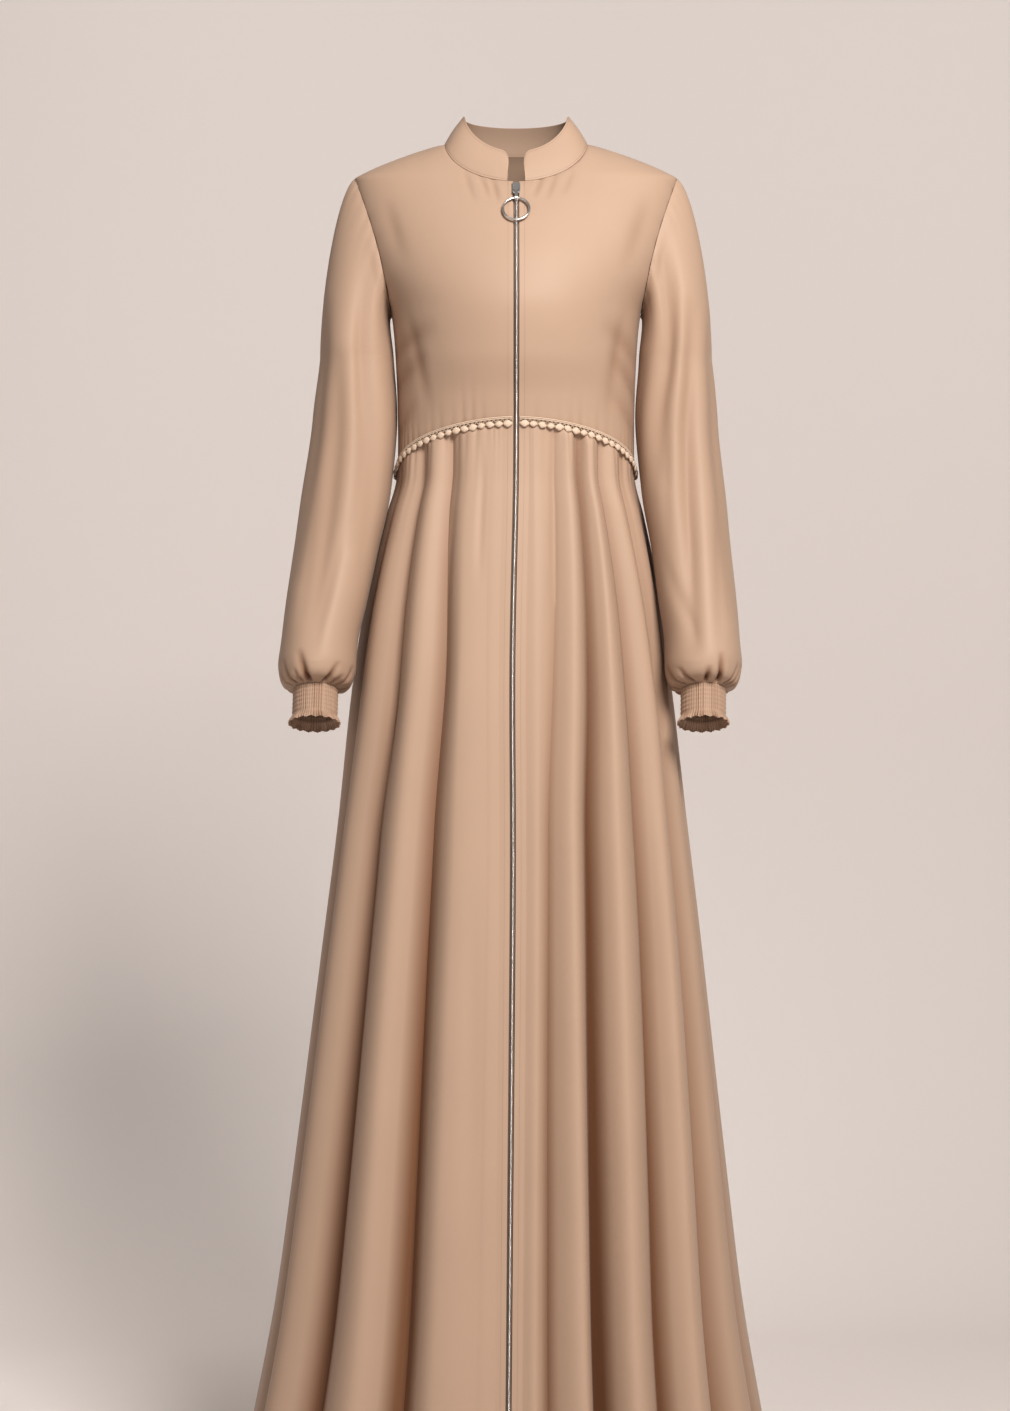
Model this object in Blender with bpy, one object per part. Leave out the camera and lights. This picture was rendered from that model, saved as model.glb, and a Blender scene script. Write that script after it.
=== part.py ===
"""Zip-front abaya in its worn, hollow form: cloth walls, bead trim, zip, slider and ring pull.

Metres, +Z up, front towards -Y, the wearer's left towards +X. The origin is between the two
points where the collar meets the shoulder seams. Angles run round the body from the centre
front (0) over the wearer's left side (90 degrees) to the centre back (180).
"""
import math

import bpy
import numpy as np

# Cloth and seams
WALL = 0.0016
SEAM_GAP = 0.0003
HEM_Z = -1.500

# Body sections: half width to each side, depth to the front and to the back
BODY_COLUMNS = ("z", "half_width", "front", "back")
BODY_ROWS = (
    (-0.040, 0.1870, 0.058, 0.072),
    (-0.070, 0.1850, 0.076, 0.084),
    (-0.110, 0.1780, 0.096, 0.096),
    (-0.150, 0.1660, 0.112, 0.102),
    (-0.200, 0.1440, 0.122, 0.101),
    (-0.250, 0.1395, 0.117, 0.095),
    (-0.300, 0.1375, 0.103, 0.087),
    (-0.340, 0.1370, 0.098, 0.085),
    (-0.386, 0.1380, 0.101, 0.088),
    (-0.430, 0.1490, 0.108, 0.099),
    (-0.490, 0.1630, 0.118, 0.114),
    (-0.550, 0.1742, 0.127, 0.127),
    (-0.650, 0.1873, 0.140, 0.143),
    (-0.780, 0.2010, 0.155, 0.158),
    (-0.930, 0.2190, 0.173, 0.178),
    (-1.200, 0.2510, 0.207, 0.213),
    (-1.340, 0.2690, 0.224, 0.230),
    (-1.500, 0.2980, 0.247, 0.252),
)
NECK_FRONT_DEPTH = 0.036
NECK_BACK_DEPTH = 0.050
# The centre line leans a little to the wearer's right below the waist
LEAN_START_Z = -0.400
LEAN_PER_METRE = -0.0088
# Sideways sway of the hips
SWAY = -0.0028
SWAY_Z = -0.600
SWAY_SPREAD = 0.160

# Neck, shoulders and armholes
NECK_HALF_WIDTH = 0.0824
NECK_DROP_FRONT = 0.052
NECK_DROP_BACK = 0.006
SHOULDER_X = 0.1870
SHOULDER_Z = -0.040
SHOULDER_BOW = 0.08
UNDERARM_X = 0.1440
UNDERARM_Z = -0.200
ARMHOLE_BOW_FRONT = 0.005
ARMHOLE_BOW_BACK = 0.008
NECK_SEGMENTS = 8
SHOULDER_SEGMENTS = 8
ARMHOLE_SEGMENTS = 12
SIDE_SEGMENTS = 3

# Waist seam: high at the centre front, falling to the sides, level round the back
WAIST_FRONT_Z = -0.3285
WAIST_SIDE_Z = -0.382
WAIST_CURVE = 1.75
WAIST_BACK_DIP = 0.005
BODICE_GATHERS = (0.0012, 0.0005)
SKIRT_GATHERS = (0.0012, 0.0012, 0.0008)

# Zip and its placket
ZIP_EDGE = 0.0034
PLACKET = 0.0150
TAPE_HALF = 0.0140
TAPE_THICK = 0.0010
TAPE_CLEAR = 0.0008
CHAIN_HALF = 0.0028
CHAIN_PROUD = 0.0006
ZIP_TOP_DROP = 0.0010

# Collar
COLLAR_FRONT_X = 0.0105
COLLAR_HEIGHT_FRONT = 0.036
COLLAR_HEIGHT_BACK = 0.031
COLLAR_CORNER = 0.014
COLLAR_TOP_WIDTH = 0.70
COLLAR_TOP_DEPTH = 0.78
COLLAR_BEND_X = 0.0215
COLLAR_ROWS = 3
# How far the cut through the neckline leans up from level
NECK_MITRE = 0.9
# Turns a point about the centre plane
MIRROR = np.array([-1.0, 1.0, 1.0])

# Skirt folds: angle in degrees at four heights, how far the cloth stands out at the hem,
# and how far it is pushed sideways there. Ridges are positive and valleys negative.
FOLD_STATIONS_Z = (-0.390, -0.614, -0.793, -1.470)
FOLD_COLUMNS = ("at_waist", "at_hip", "at_thigh", "at_hem", "out", "aside")
FOLDS_FRONT_LEFT = (
    (9.0, 8.5, 7.5, 5.5, 0.005, 0.000),
    (18.6, 15.0, 11.7, 9.0, -0.015, 0.000),
    (25.0, 21.4, 18.0, 15.3, 0.018, 0.005),
    (32.0, 30.0, 26.3, 21.5, -0.036, 0.000),
    (38.0, 37.5, 35.5, 29.6, 0.021, -0.006),
    (45.0, 47.0, 46.2, 38.6, -0.025, 0.000),
    (53.0, 56.6, 54.0, 45.0, 0.016, 0.002),
    (62.0, 65.0, 65.0, 56.4, -0.018, 0.000),
    (71.0, 74.0, 75.0, 69.0, 0.002, 0.000),
    (80.0, 82.0, 83.0, 81.0, -0.011, 0.000),
)
FOLDS_FRONT_RIGHT = (
    (12.0, 9.0, 8.0, 7.0, 0.004, 0.000),
    (22.4, 17.3, 17.3, 16.0, 0.012, 0.003),
    (32.8, 25.7, 28.0, 26.3, -0.030, 0.000),
    (42.0, 37.0, 39.0, 37.0, 0.019, -0.003),
    (51.0, 47.0, 52.0, 51.8, -0.025, 0.000),
    (61.0, 60.0, 64.5, 64.0, 0.013, 0.002),
    (75.0, 74.0, 77.0, 77.0, -0.014, 0.000),
)
FOLDS_BACK_HALF = (
    (8.0, 8.0, 9.0, 8.0, 0.017, 0.004),
    (18.0, 18.0, 19.0, 19.0, -0.024, 0.000),
    (29.0, 30.0, 29.0, 30.0, 0.020, -0.004),
    (41.0, 41.0, 42.0, 41.0, -0.027, 0.000),
    (53.0, 52.0, 53.0, 53.0, 0.018, 0.003),
    (65.0, 65.0, 65.0, 66.0, -0.019, 0.000),
    (78.0, 78.0, 79.0, 79.0, 0.007, 0.000),
)
FOLD_STEPS = 3
FOLD_GROWTH = 0.60
FOLD_CRISPNESS = 0.70
SKIRT_ROWS = (0.0, 0.020, 0.055, 0.115, 0.20, 0.31, 0.46, 0.64, 0.82, 1.0)

# Sleeve sections below the armhole; tilt raises the front of a section, in degrees
# Columns: z, x, half_x, y, half_y, tilt
SLEEVE_ROWS = (
    (-0.250, 0.1850, 0.0425, 0.000, 0.052, 0.0),
    (-0.320, 0.1870, 0.0480, -0.004, 0.055, 0.0),
    (-0.400, 0.1958, 0.0488, -0.013, 0.056, 0.0),
    (-0.470, 0.2060, 0.0460, -0.026, 0.056, 2.0),
    (-0.530, 0.2135, 0.0450, -0.042, 0.056, 5.0),
    (-0.575, 0.2190, 0.0432, -0.054, 0.056, 9.0),
    (-0.604, 0.2208, 0.0442, -0.0605, 0.0555, 13.0),
    (-0.620, 0.2208, 0.0420, -0.0635, 0.053, 15.0),
    (-0.629, 0.2208, 0.0372, -0.0660, 0.046, 16.0),
    (-0.633, 0.2212, 0.0250, -0.0672, 0.0295, 16.0),
)
SLEEVE_HEAD_ROWS = 5
SLEEVE_HEAD_FADE = 0.5
SLEEVE_START = (0.78, 0.0, -0.62)
SLEEVE_START_PULL = 0.40
SLEEVE_END_PULL = 0.90
SLEEVE_LEAN_START_Z = -0.270
SLEEVE_LEAN_PER_METRE = -0.0210
PUFF_GATHERS = (0.0035, 0.0025, 0.0012)

# Long folds in each sleeve: the angle round it at the fold's ends, depth and half width
# Columns: top_z, low_z, at_top, at_low, depth, spread
SLEEVE_FOLDS_LEFT = (
    (-0.100, -0.400, 88.0, 128.0, 0.0080, 15.0),
    (-0.180, -0.600, 58.0, 112.0, 0.0090, 15.0),
    (-0.200, -0.560, 20.0, 40.0, 0.0050, 17.0),
    (-0.160, -0.540, 228.0, 250.0, 0.0070, 18.0),
    (-0.220, -0.600, 290.0, 310.0, 0.0060, 18.0),
)
SLEEVE_FOLDS_RIGHT = (
    (-0.120, -0.480, 96.0, 118.0, 0.0060, 17.0),
    (-0.240, -0.600, 62.0, 84.0, 0.0070, 17.0),
    (-0.180, -0.520, 26.0, 36.0, 0.0045, 18.0),
    (-0.160, -0.560, 236.0, 244.0, 0.0070, 18.0),
    (-0.240, -0.600, 298.0, 304.0, 0.0055, 18.0),
)

# Cuff: shirred band and the small ruffle under it
# Columns: down, wider, wave
CUFF_ROWS = (
    (0.0000, 0.0000, 0.0008),
    (0.0055, -0.0008, 0.0010),
    (0.0110, 0.0006, 0.0012),
    (0.0165, -0.0008, 0.0010),
    (0.0220, 0.0006, 0.0012),
    (0.0275, -0.0008, 0.0010),
    (0.0345, 0.0010, 0.0014),
    (0.0405, 0.0030, 0.0026),
)
CUFF_SIDES = 40

# Bead trim over the waist seam
BEAD_PITCH = 0.0100
TRIM_HALF_HEIGHT = 0.0050
TRIM_CLEAR = 0.0010
BEAD_PROUD = 0.0052
BEAD_VALLEY = 0.0018
TRIM_BACK_Z = -0.0002

# Slider, link and ring, along the chest (down) and out from it
SLIDER_DROP = 0.0105
SLIDER_HALF_WIDTH = 0.0045
SLIDER_UP = 0.0065
SLIDER_DOWN = 0.0060
SLIDER_BASE = 0.0012
SLIDER_TOP = 0.0030
LUG_INNER = 0.0024
LUG_OUTER = 0.0038
PIN_DOWN = 0.0086
PIN_OUT = 0.0046
PIN_RADIUS = 0.0008
LINK_LENGTH = 0.0080
LINK_HALF_WIDTH = 0.0020
LINK_TOP_RADIUS = 0.0022
LINK_TOP_HOLE = 0.0012
LINK_LOW_RADIUS = 0.0027
LINK_LOW_HOLE = 0.0018
RING_RADIUS = 0.0150
RING_WIRE = 0.0013
RING_SIDES = 24
WIRE_SIDES = 8
EYE_STEPS = 7
SLIDER_RIM = 0.0007
LUG_REACH = 0.0015
LUG_START = 0.0010
LUG_CREST = 0.0035
CHORD_TOP_Z = -0.054
CHORD_LOW_Z = -0.104


def slopes_for(xs, ys):
    """Slopes that keep a cubic through the points from overshooting."""
    step = np.diff(xs)
    rise = np.diff(ys) / step
    slope = np.zeros_like(ys)
    slope[0] = rise[0]
    slope[-1] = rise[-1]
    same = rise[:-1] * rise[1:] > 0
    weight_a = 2 * step[1:] + step[:-1]
    weight_b = step[1:] + 2 * step[:-1]
    safe_a = np.where(same, rise[:-1], 1.0)
    safe_b = np.where(same, rise[1:], 1.0)
    mean = (weight_a + weight_b) / (weight_a / safe_a + weight_b / safe_b)
    slope[1:-1] = np.where(same, mean, 0.0)
    return slope


def through(xs, ys, at):
    """Smooth monotone curve through the points (xs rising), read at the values of at."""
    xs = np.asarray(xs, float)
    ys = np.asarray(ys, float)
    at = np.clip(np.asarray(at, float), xs[0], xs[-1])
    slope = slopes_for(xs, ys)
    left = np.clip(np.searchsorted(xs, at, side="right") - 1, 0, len(xs) - 2)
    step = xs[left + 1] - xs[left]
    t = (at - xs[left]) / step
    return ((2 * t**3 - 3 * t**2 + 1) * ys[left] + (t**3 - 2 * t**2 + t) * step * slope[left]
            + (3 * t**2 - 2 * t**3) * ys[left + 1] + (t**3 - t**2) * step * slope[left + 1])


def column(names, rows, name):
    """One named column of a table, as an array."""
    return np.array([row[names.index(name)] for row in rows])


def unit(vectors):
    """Vectors scaled to length one."""
    vectors = np.asarray(vectors, float)
    return vectors / np.maximum(np.linalg.norm(vectors, axis=-1, keepdims=True), 1e-12)


def body_size(name, z):
    """Half width, front depth or back depth of the body at the heights z."""
    z = np.asarray(z, float)
    order = slice(None, None, -1)
    table_z = column(BODY_COLUMNS, BODY_ROWS, "z")[order]
    below = through(table_z, column(BODY_COLUMNS, BODY_ROWS, name)[order], z)
    at_neck = {"half_width": NECK_HALF_WIDTH, "front": NECK_FRONT_DEPTH, "back": NECK_BACK_DEPTH}[name]
    at_shoulder = BODY_ROWS[0][BODY_COLUMNS.index(name)]
    share = np.clip(z / SHOULDER_Z, 0.0, 1.0)
    if name == "half_width":
        share = share + 4 * SHOULDER_BOW * share * (1 - share)
    above = at_neck + (at_shoulder - at_neck) * share
    return np.where(z > SHOULDER_Z, above, below)


def centre_x(z):
    """Sideways place of the garment's centre line: an even lean and a soft sway at the hips."""
    z = np.asarray(z, float)
    return LEAN_PER_METRE * np.maximum(0.0, LEAN_START_Z - z) + SWAY * np.exp(-(((z - SWAY_Z) / SWAY_SPREAD) ** 2))


def body_point(angle, z, out=0.0, aside=0.0):
    """Point on the body's section at an angle and height, moved outwards and sideways."""
    angle, z, out, aside = np.broadcast_arrays(*np.atleast_1d(angle, z, out, aside))
    width = body_size("half_width", z)
    depth = np.where(np.cos(angle) > 0, body_size("front", z), body_size("back", z))
    normal = unit(np.stack([np.sin(angle) / width, -np.cos(angle) / depth, np.zeros_like(z)], -1))
    tangent = np.stack([-normal[..., 1], normal[..., 0], np.zeros_like(z)], -1)
    place = np.stack([centre_x(z) + width * np.sin(angle), -depth * np.cos(angle), z], -1)
    return place + normal * out[..., None] + tangent * aside[..., None]


def level_normal(angle, z):
    """Level outward direction of the body's section."""
    return unit(body_point(angle, z, 1.0) - body_point(angle, z))


def waist_z(angle):
    """Height of the waist seam at an angle round the body."""
    turn = np.abs((np.asarray(angle, float) + math.pi) % (2 * math.pi) - math.pi)
    quarter = math.pi / 2
    front = WAIST_FRONT_Z + (WAIST_SIDE_Z - WAIST_FRONT_Z) * np.minimum(turn / quarter, 1.0) ** WAIST_CURVE
    back = WAIST_SIDE_Z - WAIST_BACK_DIP * np.sin(np.maximum(turn - quarter, 0.0))
    return np.where(turn < quarter, front, back)


def grid_normals(grid, wrap=False):
    """Outward directions of a grid whose rows run down and whose columns run to the left."""
    down = np.gradient(grid, axis=0)
    if wrap:
        along = np.roll(grid, -1, axis=1) - np.roll(grid, 1, axis=1)
    else:
        along = np.gradient(grid, axis=1)
    return unit(np.cross(down, along))


def solid_from_grids(name, outer, inner, material, wrap=False):
    """Closed wall between an outer and an inner grid of points."""
    rows, cols = outer.shape[:2]
    points = np.concatenate([outer.reshape(-1, 3), inner.reshape(-1, 3)])
    shift = rows * cols
    spans = cols if wrap else cols - 1
    faces = []

    def quad(a, b, c, d):
        faces.append((a, b, c))
        faces.append((a, c, d))

    for row in range(rows - 1):
        for col in range(spans):
            nxt = (col + 1) % cols
            a = row * cols + col
            b = (row + 1) * cols + col
            c = (row + 1) * cols + nxt
            d = row * cols + nxt
            quad(a, b, c, d)
            faces.append((a + shift, c + shift, b + shift))
            faces.append((a + shift, d + shift, c + shift))
    low = (rows - 1) * cols
    for col in range(spans):
        nxt = (col + 1) % cols
        quad(col, nxt, nxt + shift, col + shift)
        quad(low + nxt, low + col, low + col + shift, low + nxt + shift)
    if not wrap:
        for row in range(rows - 1):
            a = row * cols
            b = a + cols
            quad(b, a, a + shift, b + shift)
            a = row * cols + cols - 1
            b = a + cols
            quad(a, b, b + shift, a + shift)
    return mesh_object(name, points, faces, material)


def mesh_object(name, points, faces, material):
    """Closed object from points and faces, which are turned outwards if they point in."""
    points = np.asarray(points, float)
    volume = 0.0
    for face in faces:
        for near, far in zip(face[1:-1], face[2:]):
            volume += float(np.dot(points[face[0]], np.cross(points[near], points[far])))
    if volume < 0:
        faces = [tuple(face)[::-1] for face in faces]
    mesh = bpy.data.meshes.new(name)
    mesh.from_pydata([tuple(map(float, point)) for point in points], [], faces)
    mesh.materials.append(material)
    mesh.shade_smooth()
    mesh.set_sharp_from_angle(angle=math.radians(50))
    obj = bpy.data.objects.new(name, mesh)
    bpy.context.scene.collection.objects.link(obj)
    return obj


def make_material(name, colour, roughness, metallic=0.0):
    """Principled material."""
    material = bpy.data.materials.new(name)
    material.use_nodes = True
    shader = material.node_tree.nodes["Principled BSDF"]
    shader.inputs["Base Color"].default_value = (*colour, 1.0)
    shader.inputs["Roughness"].default_value = roughness
    shader.inputs["Metallic"].default_value = metallic
    return material


def front_angle(x, z):
    """Angle on the front of the body whose point lies x to the left of the centre line."""
    return np.arcsin(np.clip(np.asarray(x, float) / body_size("half_width", z), -1.0, 1.0))


def neck_point(turn, back=False):
    """Point of the neckline, turn running from the centre (0) to the shoulder (90 degrees)."""
    x = NECK_HALF_WIDTH * np.sin(turn)
    z = -(NECK_DROP_BACK if back else NECK_DROP_FRONT) * np.cos(turn)
    angle = front_angle(x, z)
    return body_point(math.pi - angle if back else angle, z)


def armhole_point(share, back=False):
    """Point of the armhole edge, share running from the shoulder (0) to the underarm (1)."""
    down = (1 - np.cos(np.pi * np.asarray(share, float))) / 2
    z = SHOULDER_Z + (UNDERARM_Z - SHOULDER_Z) * down
    bow = ARMHOLE_BOW_BACK if back else ARMHOLE_BOW_FRONT
    x = SHOULDER_X + (UNDERARM_X - SHOULDER_X) * down - bow * np.sin(np.pi * down)
    angle = front_angle(x, z)
    return body_point(math.pi - angle if back else angle, z)


ARMHOLE_CENTRE = np.array([(SHOULDER_X + UNDERARM_X) / 2, 0.0, (SHOULDER_Z + UNDERARM_Z) / 2])
ARMHOLE_AXIS = unit([SHOULDER_Z - UNDERARM_Z, 0.0, UNDERARM_X - SHOULDER_X])


def armhole_normal(points):
    """Direction away from the armhole's middle, in its own plane."""
    spoke = points - ARMHOLE_CENTRE
    return unit(spoke - (spoke @ ARMHOLE_AXIS)[..., None] * ARMHOLE_AXIS)


def neck_turns(start_x):
    """Turns of the neckline's points from start_x to the shoulder, close together in front."""
    near = np.arcsin(np.array([start_x, PLACKET]) / NECK_HALF_WIDTH)
    rest = np.linspace(math.asin(COLLAR_BEND_X / NECK_HALF_WIDTH), math.pi / 2, NECK_SEGMENTS - 1)
    return np.concatenate([near, rest])


def coons(top, bottom, left, right):
    """Grid of points blended between four edges."""
    u = np.linspace(0, 1, len(top))[None, :, None]
    v = np.linspace(0, 1, len(left))[:, None, None]
    corners = ((1 - u) * (1 - v) * top[0] + u * (1 - v) * top[-1]
               + (1 - u) * v * bottom[0] + u * v * bottom[-1])
    return ((1 - v) * top[None] + v * bottom[None] + (1 - u) * left[:, None] + u * right[:, None]
            - corners)


def onto_body(grid, back):
    """Points moved level onto the body's section at their own heights."""
    z = grid[..., 2]
    depth = body_size("back" if back else "front", z)
    angle = np.arctan2(grid[..., 0] / body_size("half_width", z), np.abs(grid[..., 1]) / depth)
    return body_point(math.pi - angle if back else angle, z)


def half_bodice(back):
    """Outer points and outward directions of the bodice on the wearer's left, centre to side."""
    quarter = math.pi / 2
    start = 0.0 if back else ZIP_EDGE
    neck = neck_point(neck_turns(start), back)
    shoulder_z = np.linspace(0.0, SHOULDER_Z, SHOULDER_SEGMENTS + 1)[1:]
    shoulder = body_point(np.full(SHOULDER_SEGMENTS, quarter), shoulder_z)
    top = np.concatenate([neck, shoulder])

    count = NECK_SEGMENTS + SHOULDER_SEGMENTS
    level = WAIST_FRONT_Z if not back else WAIST_SIDE_Z
    half = float(body_size("half_width", level))
    low_angles = np.concatenate([[math.asin(start / half)],
                                 np.linspace(math.asin(PLACKET / half), quarter, count)])
    if back:
        low_angles = math.pi - low_angles
    low_z = waist_z(low_angles) + SEAM_GAP / 2
    bottom = body_point(low_angles, low_z)

    rows = ARMHOLE_SEGMENTS + SIDE_SEGMENTS
    centre_z = np.linspace(top[0, 2], bottom[0, 2], rows + 1)
    centre_angle = front_angle(start, centre_z)
    left = body_point(math.pi - centre_angle if back else centre_angle, centre_z)
    arm = armhole_point(np.linspace(0, 1, ARMHOLE_SEGMENTS + 1), back)
    side_z = np.linspace(UNDERARM_Z, bottom[-1, 2], SIDE_SEGMENTS + 1)[1:]
    side = body_point(np.full(SIDE_SEGMENTS, quarter), side_z)
    right = np.concatenate([arm, side])
    grid = onto_body(coons(top, bottom, left, right), back)

    normals = grid_normals(grid)
    if back:
        normals = -normals
    normals[:, 0, 0] = 0.0
    normals[-1] = level_normal(low_angles, low_z)
    normals[1:ARMHOLE_SEGMENTS, -1] = armhole_normal(arm[1:-1])
    normals[ARMHOLE_SEGMENTS, -1] = unit([1.0, 0.0, -1.0])
    normals[ARMHOLE_SEGMENTS + 1:, -1] = (1.0, 0.0, 0.0)
    normals[0, :NECK_SEGMENTS + 1] = neck_normal(neck)
    normals[0, NECK_SEGMENTS:] = unit([-SHOULDER_Z, 0.0, SHOULDER_X - NECK_HALF_WIDTH])
    normals = unit(normals)

    gather = np.zeros(grid.shape[:2])
    odd = np.arange(grid.shape[1]) % 2 == 1
    odd[:2] = False
    odd[-1] = False
    for up, depth in enumerate(BODICE_GATHERS):
        gather[-1 - up, odd] = depth
    grid = grid - normals * gather[..., None]
    seam_y = SEAM_GAP / 2 if back else -SEAM_GAP / 2
    grid[0, NECK_SEGMENTS:, 1] = seam_y
    grid[ARMHOLE_SEGMENTS:, -1, 1] = seam_y
    return grid, normals


def neck_normal(points):
    """Direction that halves the corner between the bodice and the collar at the neckline."""
    spoke = points * np.array([1.0, 1.0, 0.0])
    return unit(unit(spoke) + np.array([0.0, 0.0, NECK_MITRE]))


def make_bodice(cloth):
    """Two zip fronts and one back."""
    grid, normals = half_bodice(back=False)
    inner = grid - normals * WALL
    solid_from_grids("bodice_front_left", grid, inner, cloth)
    solid_from_grids("bodice_front_right", (grid * MIRROR)[:, ::-1], (inner * MIRROR)[:, ::-1], cloth)
    grid, normals = half_bodice(back=True)
    inner = grid - normals * WALL
    outer_all = np.concatenate([grid[:, ::-1], (grid * MIRROR)[:, 1:]], axis=1)
    inner_all = np.concatenate([inner[:, ::-1], (inner * MIRROR)[:, 1:]], axis=1)
    solid_from_grids("bodice_back", outer_all, inner_all, cloth)


def make_collar(cloth):
    """Stand collar leaning to the neck, its two front corners rounded off."""
    front = neck_point(neck_turns(COLLAR_FRONT_X))
    back = neck_point(neck_turns(0.0)[::-1], back=True)
    side = np.concatenate([front, back[1:]])
    base = np.concatenate([side, (side * MIRROR)[::-1][1:]])
    length = np.concatenate([[0.0], np.cumsum(np.linalg.norm(np.diff(base, axis=0), axis=1))])
    from_end = np.minimum(length, length[-1] - length)
    frontness = np.clip(-base[:, 1] / abs(base[0, 1]), 0.0, 1.0)
    height = COLLAR_HEIGHT_BACK + (COLLAR_HEIGHT_FRONT - COLLAR_HEIGHT_BACK) * frontness
    short = np.clip(COLLAR_CORNER - from_end, 0.0, COLLAR_CORNER)
    height = height - COLLAR_CORNER + np.sqrt(COLLAR_CORNER**2 - short**2)
    lean = base * np.array([COLLAR_TOP_WIDTH - 1, COLLAR_TOP_DEPTH - 1, 0.0])
    rise = lean + np.array([0.0, 0.0, COLLAR_HEIGHT_FRONT])
    normal = neck_normal(base)
    tangent = np.gradient(base, axis=0)
    step = unit(np.cross(normal, tangent))
    step = step * np.sign(step[:, 2:3])
    rows = np.linspace(1, 0, COLLAR_ROWS + 1)[:, None, None]
    share = (height / COLLAR_HEIGHT_FRONT)[None, :, None] * rows
    outer = base[None] + step[None] * SEAM_GAP + rise[None] * share
    normals = grid_normals(outer)
    normals[-1] = normal
    solid_from_grids("collar", outer, outer - normals * WALL, cloth)


def sleeve_ring(row, turns, wider=0.0):
    """Section of a sleeve, its turns running from the outside over the front."""
    z, x, half_x, y, half_y, tilt = row
    slope = math.tan(math.radians(tilt))
    forward = (half_y + wider) * np.sin(turns)
    return np.stack([x + (half_x + wider) * np.cos(turns), y - forward, z + forward * slope], -1)


def sleeve_dent(folds, z, turns):
    """Depth of the sleeve's long folds at heights z and turns."""
    dent = np.zeros_like(z)
    for top_z, low_z, at_top, at_low, depth, spread in folds:
        share = np.clip((top_z - z) / (top_z - low_z), 0.0, 1.0)
        middle = np.radians(at_top + (at_low - at_top) * share)
        off = (turns - middle + np.pi) % (2 * np.pi) - np.pi
        dent = dent + depth * np.sin(np.pi * share) ** 0.7 * np.exp(-(off / math.radians(spread)) ** 2)
    return dent


def make_sleeve(name, folds, side, cloth):
    """Long sleeve: rounded head at the armhole, puffed low down and gathered to the cuff."""
    half = ARMHOLE_SEGMENTS
    front = armhole_point(np.linspace(0, 1, half + 1))
    back = armhole_point(np.linspace(1, 0, half + 1), back=True)
    start = np.concatenate([front, back[1:-1]])
    start_normal = armhole_normal(start)
    start = start + ARMHOLE_AXIS * SEAM_GAP
    turns = np.arange(2 * half) * (2 * np.pi / (2 * half))
    first = sleeve_ring(SLEEVE_ROWS[0], turns)
    reach = np.linalg.norm(first - start, axis=1)[:, None]
    pull_a = reach * SLEEVE_START_PULL * np.array(SLEEVE_START)
    pull_b = reach * SLEEVE_END_PULL * np.array([0.0, 0.0, -1.0])
    rings = []
    for t in np.linspace(0, 1, SLEEVE_HEAD_ROWS + 1)[:-1]:
        rings.append((2 * t**3 - 3 * t**2 + 1) * start + (t**3 - 2 * t**2 + t) * pull_a
                     + (3 * t**2 - 2 * t**3) * first + (t**3 - t**2) * pull_b)
    for row in SLEEVE_ROWS:
        rings.append(sleeve_ring(row, turns))
    grid = np.array(rings)
    grid[-1, :, 2] += SEAM_GAP
    normals = -grid_normals(grid, wrap=True)
    dent = sleeve_dent(folds, grid[..., 2], np.broadcast_to(turns, grid.shape[:2]))
    dent[0] = 0.0
    dent[1] *= SLEEVE_HEAD_FADE
    dent[-1] = 0.0
    odd = np.arange(2 * half) % 2 == 1
    for up, depth in enumerate(PUFF_GATHERS):
        dent[-2 - up, odd] += depth
    grid = grid - normals * dent[..., None]
    normals = -grid_normals(grid, wrap=True)
    normals[0] = start_normal
    normals[-1] = cuff_normal(turns)
    inner = grid - normals * WALL
    solid_from_grids(name, arm_side(grid, side), arm_side(inner, side), cloth, wrap=True)


def cuff_normal(turns):
    """Direction out of the cuff in its own tilted plane."""
    z, x, half_x, y, half_y, tilt = SLEEVE_ROWS[-1]
    slope = math.tan(math.radians(tilt))
    forward = np.sin(turns) / half_y
    return unit(np.stack([np.cos(turns) / half_x, -forward, forward * slope], -1))


def arm_side(grid, side):
    """Tube made for the wearer's left put on that side or mirrored, both leaning to the right."""
    grid = grid[:, ::-1] if side > 0 else grid * MIRROR
    lean = SLEEVE_LEAN_PER_METRE * np.maximum(0.0, SLEEVE_LEAN_START_Z - grid[..., 2])
    return grid + lean[..., None] * np.array([1.0, 0.0, 0.0])


def make_cuff(name, side, cloth):
    """Shirred cuff whose gathers run down it, with a small ruffle at the wrist."""
    turns = np.arange(CUFF_SIDES) * (2 * np.pi / CUFF_SIDES)
    tilt = math.radians(SLEEVE_ROWS[-1][5])
    axis = np.array([0.0, -math.sin(tilt), -math.cos(tilt)])
    normal = cuff_normal(turns)
    wave = np.where(np.arange(CUFF_SIDES) % 2 == 0, 0.5, -0.5)
    rings = []
    for down, wider, deep in CUFF_ROWS:
        ring = sleeve_ring(SLEEVE_ROWS[-1], turns) + axis * down
        rings.append(ring + normal * (wider + deep * wave)[:, None])
    grid = np.array(rings)
    inner = grid - normal[None] * WALL
    solid_from_grids(name, arm_side(grid, side), arm_side(inner, side), cloth, wrap=True)


def fold_tables(folds, share, z):
    """Angle, reach out and reach aside of every fold line at shares of the fall and heights z."""
    stations = np.array(FOLD_STATIONS_Z)[::-1]
    angles = [through(stations, np.array(fold[:4])[::-1], z) for fold in folds]
    growth = share**FOLD_GROWTH
    outs = [fold[FOLD_COLUMNS.index("out")] * growth for fold in folds]
    asides = [fold[FOLD_COLUMNS.index("aside")] * growth for fold in folds]
    return np.radians(angles), np.array(outs), np.array(asides)


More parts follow.
